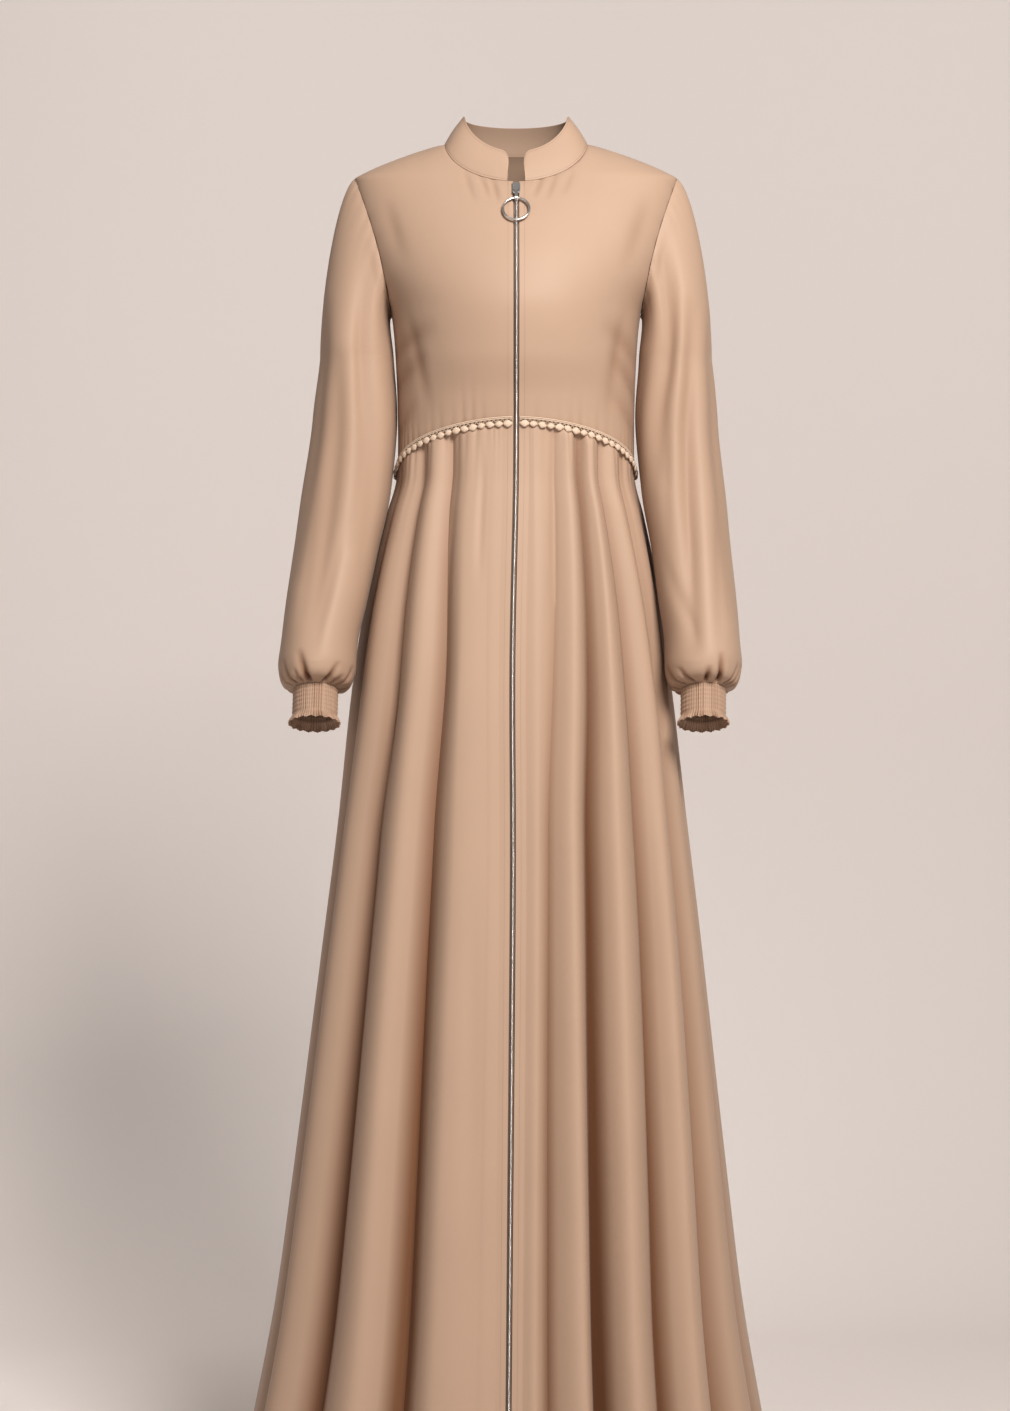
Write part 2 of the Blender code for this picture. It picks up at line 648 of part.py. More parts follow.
def valley_to_ridge(run):
    """Ease from a valley (0) to a ridge (1) that leaves valleys narrow and ridges round."""
    soft = (1 - np.cos(np.pi * run)) / 2
    return (1 - FOLD_CRISPNESS) * soft + FOLD_CRISPNESS * np.sin(np.pi * run / 2)


def fold_grid(folds, start_x):
    """Angles, reach out and aside of a quarter's columns: centre edge, placket, folds, side."""
    share = np.array(SKIRT_ROWS)
    centre_top = float(waist_z(0.0))
    z_guess = centre_top + (HEM_Z - centre_top) * share
    angles, outs, asides = fold_tables(folds, share, z_guess)
    width = body_size("half_width", z_guess)
    lines = [np.arcsin(start_x / width)]
    if start_x > 0:
        lines.append(np.arcsin(PLACKET / width))
    lines.extend(angles)
    lines.append(np.full_like(share, math.pi / 2))
    flat = [np.zeros_like(share)]
    before = flat * (2 if start_x > 0 else 1)
    all_outs = before + list(outs) + flat
    all_asides = before + list(asides) + flat
    columns = []
    for index in range(len(lines) - 1):
        steps = 1 if start_x > 0 and index == 0 else FOLD_STEPS
        low = np.minimum(all_outs[index], all_outs[index + 1])
        high = np.maximum(all_outs[index], all_outs[index + 1])
        rising = all_outs[index + 1] >= all_outs[index]
        for step in range(steps):
            t = step / steps
            run = np.where(rising, t, 1 - t)
            columns.append((lines[index] + (lines[index + 1] - lines[index]) * t,
                            low + (high - low) * valley_to_ridge(run),
                            all_asides[index] + (all_asides[index + 1] - all_asides[index]) * t))
    columns.append((lines[-1], all_outs[-1], all_asides[-1]))
    return [np.array(part).T for part in zip(*columns)]


def skirt_quarter(folds, start_x, back):
    """Outer points and outward directions of a quarter of the skirt, centre to side."""
    angles, outs, asides = fold_grid(folds, start_x)
    if back:
        angles = math.pi - angles
        asides = -asides
    share = np.array(SKIRT_ROWS)[:, None]
    top = waist_z(angles) - SEAM_GAP / 2
    z = top + (HEM_Z - top) * share
    gather = np.zeros_like(z)
    odd = np.arange(z.shape[1]) % 2 == 1
    odd[:2] = False
    odd[-2:] = False
    for row, depth in enumerate(SKIRT_GATHERS):
        gather[row, odd] = depth
    grid = body_point(angles, z, outs - gather, asides)
    return grid, angles, z


def make_skirt(cloth):
    """Two zip fronts and one back, folds deepening from the waist to the hem."""
    quarters = {}
    for name, folds, start, back in (("left", FOLDS_FRONT_LEFT, ZIP_EDGE, False),
                                     ("right", FOLDS_FRONT_RIGHT, ZIP_EDGE, False),
                                     ("back", FOLDS_BACK_HALF, 0.0, True)):
        quarters[name] = skirt_quarter(folds, start, back)

    def finished(grid, angles, z, back):
        normals = grid_normals(grid)
        if back:
            normals = -normals
        normals[0] = level_normal(angles[0], z[0])
        normals[:, -1] = unit(normals[:, -1] * np.array([1.0, 0.0, 1.0]))
        normals[:, 0] = unit(normals[:, 0] * np.array([0.0, 1.0, 1.0]))
        seam_y = SEAM_GAP / 2 if back else -SEAM_GAP / 2
        grid[:, -1, 1] = seam_y
        return grid, grid - normals * WALL

    def mirrored(grid):
        lean = np.zeros_like(grid)
        lean[..., 0] = 2 * centre_x(grid[..., 2])
        return grid * MIRROR + lean

    outer, inner = finished(*quarters["left"], False)
    solid_from_grids("skirt_front_left", outer, inner, cloth)
    outer, inner = finished(*quarters["right"], False)
    solid_from_grids("skirt_front_right", mirrored(outer)[:, ::-1], mirrored(inner)[:, ::-1], cloth)
    outer, inner = finished(*quarters["back"], True)
    outer_all = np.concatenate([outer[:, ::-1], mirrored(outer)[:, 1:]], axis=1)
    inner_all = np.concatenate([inner[:, ::-1], mirrored(inner)[:, 1:]], axis=1)
    solid_from_grids("skirt_back", outer_all, inner_all, cloth)


def zip_rows():
    """Heights of the zip's rows: those of the bodice's and the skirt's front edges."""
    top = -NECK_DROP_FRONT - ZIP_TOP_DROP
    low = WAIST_FRONT_Z
    bodice = np.linspace(-NECK_DROP_FRONT, low, ARMHOLE_SEGMENTS + SIDE_SEGMENTS + 1)
    bodice[0] = top
    skirt = low + (HEM_Z - low) * np.array(SKIRT_ROWS)
    return np.concatenate([bodice, skirt[1:]])


def make_zip(tape):
    """Zip tape behind the front edges with the closed chain raised between them."""
    z = zip_rows()
    behind = -(WALL + TAPE_CLEAR)
    section = (
        (-TAPE_HALF, behind), (-PLACKET / 2, behind), (-CHAIN_HALF, behind), (-CHAIN_HALF, CHAIN_PROUD),
        (CHAIN_HALF, CHAIN_PROUD), (CHAIN_HALF, behind), (PLACKET / 2, behind), (TAPE_HALF, behind),
        (TAPE_HALF, behind - TAPE_THICK), (0.0, behind - TAPE_THICK), (-TAPE_HALF, behind - TAPE_THICK),
    )
    slope = unit(np.gradient(body_point(0.0, z), axis=0))
    out = np.stack([np.zeros_like(z), slope[:, 2], -slope[:, 1]], -1)
    rings = []
    for x, depth in section:
        rings.append(body_point(front_angle(x, z), z) + out * depth)
    grid = np.array(rings).transpose(1, 0, 2)
    rows, cols = grid.shape[:2]
    faces = []
    for row in range(rows - 1):
        for col in range(cols):
            nxt = (col + 1) % cols
            a = row * cols + col
            b = a + cols
            c = (row + 1) * cols + nxt
            d = row * cols + nxt
            faces.append((a, b, c))
            faces.append((a, c, d))
    cap = ((0, 1, 9, 10), (1, 2, 9), (2, 3, 4, 5), (2, 5, 9), (5, 6, 9), (6, 7, 8, 9))
    low = (rows - 1) * cols
    for corners in cap:
        faces.append(tuple(corners))
        faces.append(tuple(low + corner for corner in corners[::-1]))
    mesh_object("zip_tape", grid.reshape(-1, 3), faces, tape)


def trim_strip(name, start, stop, material):
    """Strip of bead bumps laid over the waist seam between two angles."""
    fine = np.linspace(start, stop, 400)
    path = body_point(fine, waist_z(fine))
    length = np.concatenate([[0.0], np.cumsum(np.linalg.norm(np.diff(path, axis=0), axis=1))])
    beads = max(2, round(length[-1] / BEAD_PITCH))
    marks = np.linspace(0, length[-1], 2 * beads + 1)
    angles = np.interp(marks, length, fine)
    z = waist_z(angles)
    normal = level_normal(angles, z)
    top = body_point(angles, z + TRIM_HALF_HEIGHT, TRIM_CLEAR / 2)
    low = body_point(angles, z - TRIM_HALF_HEIGHT, TRIM_CLEAR)
    proud = np.where(np.arange(len(marks)) % 2 == 1, BEAD_PROUD, BEAD_VALLEY)
    peak = body_point(angles, z + TRIM_BACK_Z) + normal * proud[:, None]
    rings = np.stack([top, peak, low], axis=1)
    cols = rings.shape[1]
    faces = []
    for row in range(len(rings) - 1):
        for col in range(cols):
            nxt = (col + 1) % cols
            a = row * cols + col
            b = a + cols
            c = b - col + nxt
            d = a - col + nxt
            faces.append((a, d, c))
            faces.append((a, c, b))
    last = (len(rings) - 1) * cols
    faces.append((0, 2, 1))
    faces.append((last, last + 1, last + 2))
    mesh_object(name, rings.reshape(-1, 3), faces, material)


def make_trim(material):
    """Bead trim over both fronts and the back."""
    half = float(body_size("half_width", WAIST_FRONT_Z))
    start = math.asin((ZIP_EDGE + SEAM_GAP) / half)
    side_gap = SEAM_GAP / half
    quarter = math.pi / 2
    trim_strip("trim_front_left", start, quarter - side_gap, material)
    trim_strip("trim_front_right", -quarter + side_gap, -start, material)
    trim_strip("trim_back", quarter + side_gap, 3 * quarter - side_gap, material)


def chest_frame():
    """Middle of the slider on the chest, and the directions down along the chest and out of it."""
    high = body_point(0.0, CHORD_TOP_Z)[0]
    low = body_point(0.0, CHORD_LOW_Z)[0]
    down = unit(low - high)
    out = np.array([0.0, down[2], -down[1]])
    neck = body_point(0.0, -NECK_DROP_FRONT)[0]
    middle = high + down * (float((neck - high) @ down) + SLIDER_DROP)
    return middle, down, out


def placed(middle, down, out, x, along, high):
    """Point given across, down along and out from the chest."""
    return middle + np.array([x, 0.0, 0.0]) + down * along + out * high


def prism(name, profile, half_width, frame, material):
    """Outline in the plane of the chest's down and out directions, given a width across."""
    middle, down, out = frame
    count = len(profile)
    points = [placed(middle, down, out, side * half_width, along, high)
              for side in (-1, 1) for along, high in profile]
    faces = [tuple(range(count)), tuple(range(2 * count - 1, count - 1, -1))]
    for index in range(count):
        nxt = (index + 1) % count
        faces.append((index, index + count, nxt + count, nxt))
    return mesh_object(name, points, faces, material)


def disc_profile(along, high, radius, sides=12):
    """Round outline."""
    return [(along + radius * math.cos(2 * math.pi * k / sides + math.pi / sides),
             high + radius * math.sin(2 * math.pi * k / sides + math.pi / sides)) for k in range(sides)]


def combine(target, tool, operation):
    """Boolean of a hidden tool on a target."""
    tool.hide_render = True
    tool.display_type = "WIRE"
    modifier = target.modifiers.new(tool.name, "BOOLEAN")
    modifier.operation = operation
    modifier.object = tool


def make_slider(metal):
    """Slider body over the chain with two lugs that carry the link's pin."""
    frame = chest_frame()
    shoulder = SLIDER_TOP - SLIDER_RIM
    body = [(-SLIDER_UP, SLIDER_BASE), (SLIDER_DOWN, SLIDER_BASE), (SLIDER_DOWN, shoulder),
            (SLIDER_DOWN - SLIDER_RIM, SLIDER_TOP), (SLIDER_RIM - SLIDER_UP, SLIDER_TOP), (-SLIDER_UP, shoulder)]
    slider = prism("zip_slider", body, SLIDER_HALF_WIDTH, frame, metal)
    lug = [(LUG_START, shoulder - SLIDER_RIM), (SLIDER_DOWN, SLIDER_BASE + SLIDER_RIM),
           (PIN_DOWN, PIN_OUT - LUG_REACH), (PIN_DOWN + LUG_REACH, PIN_OUT),
           (PIN_DOWN, PIN_OUT + LUG_REACH), (LUG_CREST, PIN_OUT + LUG_REACH / 2)]
    middle, down, out = frame
    half = (LUG_OUTER - LUG_INNER) / 2
    for side, name in ((-1, "lug_right"), (1, "lug_left")):
        moved = (middle + np.array([side * (LUG_INNER + half), 0.0, 0.0]), down, out)
        combine(slider, prism(name, lug, half, moved, metal), "UNION")
    pin = prism("lug_pin", disc_profile(PIN_DOWN, PIN_OUT, PIN_RADIUS, 10), LUG_INNER + half, frame, metal)
    combine(slider, pin, "UNION")


def make_link(metal):
    """Flat link between the slider's pin and the ring, an eye at each end."""
    frame = chest_frame()
    low = PIN_DOWN + LINK_LENGTH
    outline = []
    for centre, radius, start in ((PIN_DOWN, LINK_TOP_RADIUS, 90), (low, LINK_LOW_RADIUS, -90)):
        for k in range(EYE_STEPS):
            turn = math.radians(start + 180 * k / (EYE_STEPS - 1))
            outline.append((centre + radius * math.cos(turn), PIN_OUT + radius * math.sin(turn)))
    link = prism("pull_link", outline, LINK_HALF_WIDTH, frame, metal)
    cut = LINK_HALF_WIDTH + 0.001
    top_hole = prism("top_eye", disc_profile(PIN_DOWN, PIN_OUT, LINK_TOP_HOLE), cut, frame, metal)
    low_hole = prism("low_eye", disc_profile(low, PIN_OUT, LINK_LOW_HOLE), cut, frame, metal)
    combine(link, top_hole, "DIFFERENCE")
    combine(link, low_hole, "DIFFERENCE")


def make_ring(metal):
    """Round wire ring hanging through the link's lower eye."""
    middle, down, out = chest_frame()
    centre_down = PIN_DOWN + LINK_LENGTH + RING_RADIUS
    around = np.arange(RING_SIDES) * (2 * np.pi / RING_SIDES)
    wire = np.arange(WIRE_SIDES) * (2 * np.pi / WIRE_SIDES)
    radius = RING_RADIUS + RING_WIRE * np.cos(wire)[None, :]
    x = radius * np.sin(around)[:, None]
    along = centre_down - radius * np.cos(around)[:, None]
    high = PIN_OUT + RING_WIRE * np.sin(wire)[None, :] + 0 * x
    grid = (middle + x[..., None] * np.array([1.0, 0.0, 0.0]) + along[..., None] * down
            + high[..., None] * out)
    faces = []
    rows, cols = grid.shape[:2]
    for row in range(rows):
        for col in range(cols):
            a = row * cols + col
            b = ((row + 1) % rows) * cols + col
            c = ((row + 1) % rows) * cols + (col + 1) % cols
            d = row * cols + (col + 1) % cols
            faces.append((a, b, c, d))
    mesh_object("pull_ring", grid.reshape(-1, 3), faces, metal)


def main():
    """Builds the whole garment."""
    for obj in list(bpy.data.objects):
        bpy.data.objects.remove(obj, do_unlink=True)
    cloth = make_material("crepe", (0.67, 0.47, 0.34), 0.55)
    yarn = make_material("trim_yarn", (0.74, 0.60, 0.42), 0.80)
    tape = make_material("zip_metal_and_tape", (0.60, 0.56, 0.52), 0.40, 0.6)
    metal = make_material("pull_metal", (0.72, 0.71, 0.70), 0.25, 1.0)
    make_collar(cloth)
    make_bodice(cloth)
    make_skirt(cloth)
    make_sleeve("sleeve_left", SLEEVE_FOLDS_LEFT, 1, cloth)
    make_sleeve("sleeve_right", SLEEVE_FOLDS_RIGHT, -1, cloth)
    make_cuff("cuff_left", 1, cloth)
    make_cuff("cuff_right", -1, cloth)
    make_zip(tape)
    make_trim(yarn)
    make_slider(metal)
    make_link(metal)
    make_ring(metal)


main()
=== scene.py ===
"""Looks of the zip-front abaya: cloth shells with folds, gathers, crochet trim, zip and ring pull."""
import math

import bpy
import numpy as np
from bpy.props import FloatProperty, FloatVectorProperty, PointerProperty
from bpy.types import Operator, Panel, PropertyGroup
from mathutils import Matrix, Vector


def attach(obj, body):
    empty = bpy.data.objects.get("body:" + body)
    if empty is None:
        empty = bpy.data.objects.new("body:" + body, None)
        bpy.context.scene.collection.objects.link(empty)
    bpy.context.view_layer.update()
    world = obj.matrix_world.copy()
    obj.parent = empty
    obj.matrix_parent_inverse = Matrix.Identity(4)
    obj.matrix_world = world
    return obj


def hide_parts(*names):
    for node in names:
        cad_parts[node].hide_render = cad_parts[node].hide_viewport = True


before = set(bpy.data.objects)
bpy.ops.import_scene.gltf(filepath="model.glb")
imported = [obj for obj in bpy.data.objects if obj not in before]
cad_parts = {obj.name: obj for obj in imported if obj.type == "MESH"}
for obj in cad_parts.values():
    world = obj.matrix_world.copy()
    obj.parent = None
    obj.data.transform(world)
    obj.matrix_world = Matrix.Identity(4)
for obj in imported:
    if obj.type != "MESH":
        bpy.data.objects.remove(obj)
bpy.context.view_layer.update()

BODY = "garment"

bl_info = {
    "name": "Zip-front Abaya",
    "version": (1, 0, 0),
    "blender": (4, 5, 0),
    "location": "3D View > Sidebar > Abaya",
    "description": "Builds the cloth, trim and zip of a full-length abaya around its solids",
    "category": "Object",
}

# Body sections: half width to each side, depth to the front and to the back
BODY_COLUMNS = ("z", "half_width", "front", "back")
BODY_ROWS = (
    (-0.040, 0.1870, 0.058, 0.072),
    (-0.070, 0.1850, 0.076, 0.084),
    (-0.110, 0.1780, 0.096, 0.096),
    (-0.150, 0.1660, 0.112, 0.102),
    (-0.200, 0.1440, 0.122, 0.101),
    (-0.250, 0.1395, 0.117, 0.095),
    (-0.300, 0.1375, 0.103, 0.087),
    (-0.340, 0.1370, 0.098, 0.085),
    (-0.386, 0.1380, 0.101, 0.088),
    (-0.430, 0.1490, 0.108, 0.099),
    (-0.490, 0.1630, 0.118, 0.114),
    (-0.550, 0.1742, 0.127, 0.127),
    (-0.650, 0.1873, 0.140, 0.143),
    (-0.780, 0.2010, 0.155, 0.158),
    (-0.930, 0.2190, 0.173, 0.178),
    (-1.200, 0.2510, 0.207, 0.213),
    (-1.340, 0.2690, 0.224, 0.230),
    (-1.500, 0.2980, 0.247, 0.252),
)
NECK_FRONT_DEPTH = 0.036
NECK_BACK_DEPTH = 0.050
LEAN_START_Z = -0.400
LEAN_PER_METRE = -0.0088
# Sideways sway of the hips
SWAY = -0.0028
SWAY_Z = -0.600
SWAY_SPREAD = 0.160
SEAM_GAP = 0.0001
HEM_Z = -1.500

# Neck, shoulders and armholes
NECK_HALF_WIDTH = 0.0824
NECK_DROP_FRONT = 0.052
NECK_DROP_BACK = 0.006
SHOULDER_X = 0.1870
SHOULDER_Z = -0.040
SHOULDER_BOW = 0.08
UNDERARM_X = 0.1440
UNDERARM_Z = -0.200
ARMHOLE_BOW_FRONT = 0.005
ARMHOLE_BOW_BACK = 0.008

# Waist seam
WAIST_FRONT_Z = -0.3285
WAIST_SIDE_Z = -0.382
WAIST_CURVE = 1.75
WAIST_BACK_DIP = 0.005

# Zip edges
ZIP_EDGE = 0.0034
PLACKET = 0.0150

# Collar
COLLAR_FRONT_X = 0.0105
COLLAR_HEIGHT_FRONT = 0.036
COLLAR_HEIGHT_BACK = 0.031
COLLAR_CORNER = 0.014
COLLAR_TOP_WIDTH = 0.70
COLLAR_TOP_DEPTH = 0.78
# Upward share of the direction that halves the corner at the neckline
COLLAR_CORNER_LIFT = 0.9

# Skirt folds: angle in degrees at four heights, reach out and aside at the hem in metres
FOLD_STATIONS_Z = (-0.390, -0.614, -0.793, -1.470)
FOLD_COLUMNS = ("at_waist", "at_hip", "at_thigh", "at_hem", "out", "aside")
FOLDS_FRONT_LEFT = (
    (9.0, 8.5, 7.5, 5.5, 0.005, 0.000),
    (18.6, 15.0, 11.7, 9.0, -0.015, 0.000),
    (25.0, 21.4, 18.0, 15.3, 0.018, 0.005),
    (32.0, 30.0, 26.3, 21.5, -0.036, 0.000),
    (38.0, 37.5, 35.5, 29.6, 0.021, -0.006),
    (45.0, 47.0, 46.2, 38.6, -0.025, 0.000),
    (53.0, 56.6, 54.0, 45.0, 0.016, 0.002),
    (62.0, 65.0, 65.0, 56.4, -0.018, 0.000),
    (71.0, 74.0, 75.0, 69.0, 0.002, 0.000),
    (80.0, 82.0, 83.0, 81.0, -0.011, 0.000),
)
FOLDS_FRONT_RIGHT = (
    (12.0, 9.0, 8.0, 7.0, 0.004, 0.000),
    (22.4, 17.3, 17.3, 16.0, 0.012, 0.003),
    (32.8, 25.7, 28.0, 26.3, -0.030, 0.000),
    (42.0, 37.0, 39.0, 37.0, 0.019, -0.003),
    (51.0, 47.0, 52.0, 51.8, -0.025, 0.000),
    (61.0, 60.0, 64.5, 64.0, 0.013, 0.002),
    (75.0, 74.0, 77.0, 77.0, -0.014, 0.000),
)
FOLDS_BACK_HALF = (
    (8.0, 8.0, 9.0, 8.0, 0.017, 0.004),
    (18.0, 18.0, 19.0, 19.0, -0.024, 0.000),
    (29.0, 30.0, 29.0, 30.0, 0.020, -0.004),
    (41.0, 41.0, 42.0, 41.0, -0.027, 0.000),
    (53.0, 52.0, 53.0, 53.0, 0.018, 0.003),
    (65.0, 65.0, 65.0, 66.0, -0.019, 0.000),
    (78.0, 78.0, 79.0, 79.0, 0.007, 0.000),
)
FOLD_GROWTH = 0.60
FOLD_CRISPNESS = 0.70

# Sleeve sections below the armhole; tilt raises the front of a section, in degrees
SLEEVE_COLUMNS = ("z", "x", "half_x", "y", "half_y", "tilt")
SLEEVE_ROWS = (
    (-0.250, 0.1850, 0.0425, 0.000, 0.052, 0.0),
    (-0.320, 0.1870, 0.0480, -0.004, 0.055, 0.0),
    (-0.400, 0.1958, 0.0488, -0.013, 0.056, 0.0),
    (-0.470, 0.2060, 0.0460, -0.026, 0.056, 2.0),
    (-0.530, 0.2135, 0.0450, -0.042, 0.056, 5.0),
    (-0.575, 0.2190, 0.0432, -0.054, 0.056, 9.0),
    (-0.604, 0.2208, 0.0442, -0.0605, 0.0555, 13.0),
    (-0.620, 0.2208, 0.0420, -0.0635, 0.053, 15.0),
    (-0.629, 0.2208, 0.0372, -0.0660, 0.046, 16.0),
    (-0.633, 0.2212, 0.0250, -0.0672, 0.0295, 16.0),
)
SLEEVE_START = (0.78, 0.0, -0.62)
SLEEVE_START_PULL = 0.40
SLEEVE_END_PULL = 0.90
SLEEVE_LEAN_START_Z = -0.270
SLEEVE_LEAN_PER_METRE = -0.0210

# Long folds in each sleeve, in metres and degrees: top_z, low_z, at_top, at_low, depth, spread
SLEEVE_FOLDS_LEFT = (
    (-0.100, -0.400, 88.0, 128.0, 0.0080, 15.0),
    (-0.180, -0.600, 58.0, 112.0, 0.0090, 15.0),
    (-0.200, -0.560, 20.0, 40.0, 0.0050, 17.0),
    (-0.160, -0.540, 228.0, 250.0, 0.0070, 18.0),
    (-0.220, -0.600, 290.0, 310.0, 0.0060, 18.0),
)
SLEEVE_FOLDS_RIGHT = (
    (-0.120, -0.480, 96.0, 118.0, 0.0060, 17.0),
    (-0.240, -0.600, 62.0, 84.0, 0.0070, 17.0),
    (-0.180, -0.520, 26.0, 36.0, 0.0045, 18.0),
    (-0.160, -0.560, 236.0, 244.0, 0.0070, 18.0),
    (-0.240, -0.600, 298.0, 304.0, 0.0055, 18.0),
)

# Edges sharper than this many degrees stay crisp
EDGE_ANGLE = 55.0

# Cuff length, and how far the ruffle opens below the shirring
CUFF_LENGTH = 0.0405
CUFF_BAND = 0.0300
CUFF_ROWS_OF_SHIRRING = 6


def slopes_for(xs, ys):
    """Slopes that keep a cubic through the points from overshooting: harmonic means of the steps."""
    step = np.diff(xs)
    rise = np.diff(ys) / step
    slope = np.zeros_like(ys)
    slope[0] = rise[0]
    slope[-1] = rise[-1]
    same = rise[:-1] * rise[1:] > 0
    weight_a = 2 * step[1:] + step[:-1]
    weight_b = step[1:] + 2 * step[:-1]
    safe_a = np.where(same, rise[:-1], 1.0)
    safe_b = np.where(same, rise[1:], 1.0)
    mean = (weight_a + weight_b) / (weight_a / safe_a + weight_b / safe_b)
    slope[1:-1] = np.where(same, mean, 0.0)
    return slope


def hermite(t, start, end, pull_a, pull_b):
    """Cubic between two values that leaves and reaches them with the given pulls."""
    return ((2 * t**3 - 3 * t**2 + 1) * start + (t**3 - 2 * t**2 + t) * pull_a
            + (3 * t**2 - 2 * t**3) * end + (t**3 - t**2) * pull_b)


def through(xs, ys, at):
    """Smooth monotone cubic through the points (xs rising), read at the values of at."""
    xs = np.asarray(xs, float)
    ys = np.asarray(ys, float)
    at = np.clip(np.asarray(at, float), xs[0], xs[-1])
    slope = slopes_for(xs, ys)
    left = np.clip(np.searchsorted(xs, at, side="right") - 1, 0, len(xs) - 2)
    step = xs[left + 1] - xs[left]
    t = (at - xs[left]) / step
    return hermite(t, ys[left], ys[left + 1], step * slope[left], step * slope[left + 1])


def column(names, rows, name):
    """One named column of a table, as an array."""
    return np.array([row[names.index(name)] for row in rows])


def unit(vectors):
    """Vectors scaled to length one."""
    vectors = np.asarray(vectors, float)
    return vectors / np.maximum(np.linalg.norm(vectors, axis=-1, keepdims=True), 1e-12)


def soft_step(low, high, at):
    """Smooth rise from 0 at low to 1 at high."""
    t = np.clip((np.asarray(at, float) - low) / (high - low), 0.0, 1.0)
    return t * t * (3 - 2 * t)


def body_size(name, z):
    """Half width, front depth or back depth of the body at the heights z."""
    z = np.asarray(z, float)
    order = slice(None, None, -1)
    table_z = column(BODY_COLUMNS, BODY_ROWS, "z")[order]
    below = through(table_z, column(BODY_COLUMNS, BODY_ROWS, name)[order], z)
    at_neck = {"half_width": NECK_HALF_WIDTH, "front": NECK_FRONT_DEPTH, "back": NECK_BACK_DEPTH}[name]
    at_shoulder = BODY_ROWS[0][BODY_COLUMNS.index(name)]
    share = np.clip(z / SHOULDER_Z, 0.0, 1.0)
    if name == "half_width":
        share = share + 4 * SHOULDER_BOW * share * (1 - share)
    above = at_neck + (at_shoulder - at_neck) * share
    return np.where(z > SHOULDER_Z, above, below)


def centre_x(z):
    """Sideways place of the garment's centre line: an even lean and a soft sway at the hips."""
    z = np.asarray(z, float)
    lean = LEAN_PER_METRE * np.maximum(0.0, LEAN_START_Z - z)
    return lean + SWAY * np.exp(-(((z - SWAY_Z) / SWAY_SPREAD) ** 2))


def body_point(angle, z, out=0.0, aside=0.0):
    """Point of the body's section: an ellipse of the half width and the depth at its height,
    then moved along the section's outward direction and along its tangent."""
    angle, z, out, aside = np.broadcast_arrays(*np.atleast_1d(angle, z, out, aside))
    width = body_size("half_width", z)
    depth = np.where(np.cos(angle) > 0, body_size("front", z), body_size("back", z))
    normal = unit(np.stack([np.sin(angle) / width, -np.cos(angle) / depth, np.zeros_like(z)], -1))
    tangent = np.stack([-normal[..., 1], normal[..., 0], np.zeros_like(z)], -1)
    place = np.stack([centre_x(z) + width * np.sin(angle), -depth * np.cos(angle), z], -1)
    return place + normal * out[..., None] + tangent * aside[..., None]


def front_angle(x, z):
    """Angle on the front of the body whose point lies x to the left of the centre line."""
    return np.arcsin(np.clip(np.asarray(x, float) / body_size("half_width", z), -1.0, 1.0))


def body_at(x, z, back=False):
    """Point of the body's surface that lies x to the left of the centre line."""
    angle = front_angle(x, z)
    return body_point(math.pi - angle if back else angle, z)


def section_angle(grid, back):
    """Angle of each point from the centre, on the body's section at its height."""
    z = grid[..., 2]
    return np.arctan2(grid[..., 0] / body_size("half_width", z),
                      np.abs(grid[..., 1]) / body_size("back" if back else "front", z))


def waist_z(angle):
    """Height of the waist seam: a power curve from the centre front to the side, level behind."""
    turn = np.abs((np.asarray(angle, float) + math.pi) % (2 * math.pi) - math.pi)
    quarter = math.pi / 2
    front = WAIST_FRONT_Z + (WAIST_SIDE_Z - WAIST_FRONT_Z) * np.minimum(turn / quarter, 1.0) ** WAIST_CURVE
    back = WAIST_SIDE_Z - WAIST_BACK_DIP * np.sin(np.maximum(turn - quarter, 0.0))
    return np.where(turn < quarter, front, back)


def grid_normals(grid, wrap=False, flip=False):
    """Outward directions of a grid: the cross product of its steps down and along. Grids that
    run the other way round are flipped."""
    down = np.gradient(grid, axis=0)
    if wrap:
        along = np.roll(grid, -1, axis=1) - np.roll(grid, 1, axis=1)
    else:
        along = np.gradient(grid, axis=1)
    normals = unit(np.cross(down, along))
    return -normals if flip else normals


def grid_uv(grid, wrap=False):
    """Map of a grid in metres: mean length across and mean length down up to each point."""
    closed = np.concatenate([grid, grid[:, :1]], axis=1) if wrap else grid
    across = np.linalg.norm(np.diff(closed, axis=1), axis=2)
    down = np.linalg.norm(np.diff(closed, axis=0), axis=2)
    u = np.concatenate([np.zeros((len(closed), 1)), np.cumsum(across, axis=1)], axis=1)
    v = np.concatenate([[0.0], np.cumsum(down.mean(axis=1))])
    return np.stack([u - u.mean(axis=1, keepdims=True), np.broadcast_to(-v[:, None], u.shape)], -1)


def lengths_along(path):
    """Length along a path up to each of its points."""
    return np.concatenate([[0.0], np.cumsum(np.linalg.norm(np.diff(path, axis=0), axis=1))])


def read_path(at, length, path):
    """Points of a path at given lengths along it."""
    return np.stack([np.interp(at, length, path[:, k]) for k in range(3)], -1)


def cells(table):
    """Four-cornered faces between the neighbours in a table of point numbers."""
    return np.stack([table[:-1, :-1], table[1:, :-1], table[1:, 1:], table[:-1, 1:]], -1).reshape(-1, 4)


def round_table(rows, sides):
    """Table of the point numbers of closed rings, the first column repeated at the end."""
    index = np.arange(rows * sides).reshape(rows, sides)
    return np.concatenate([index, index[:, :1]], axis=1)


def capped_faces(rows, sides):
    """Faces between closed rings of points, with a cap at both ends."""
    index = round_table(rows, sides)
    return [cells(index), index[:1, :sides], index[-1:, :sides][:, ::-1]]


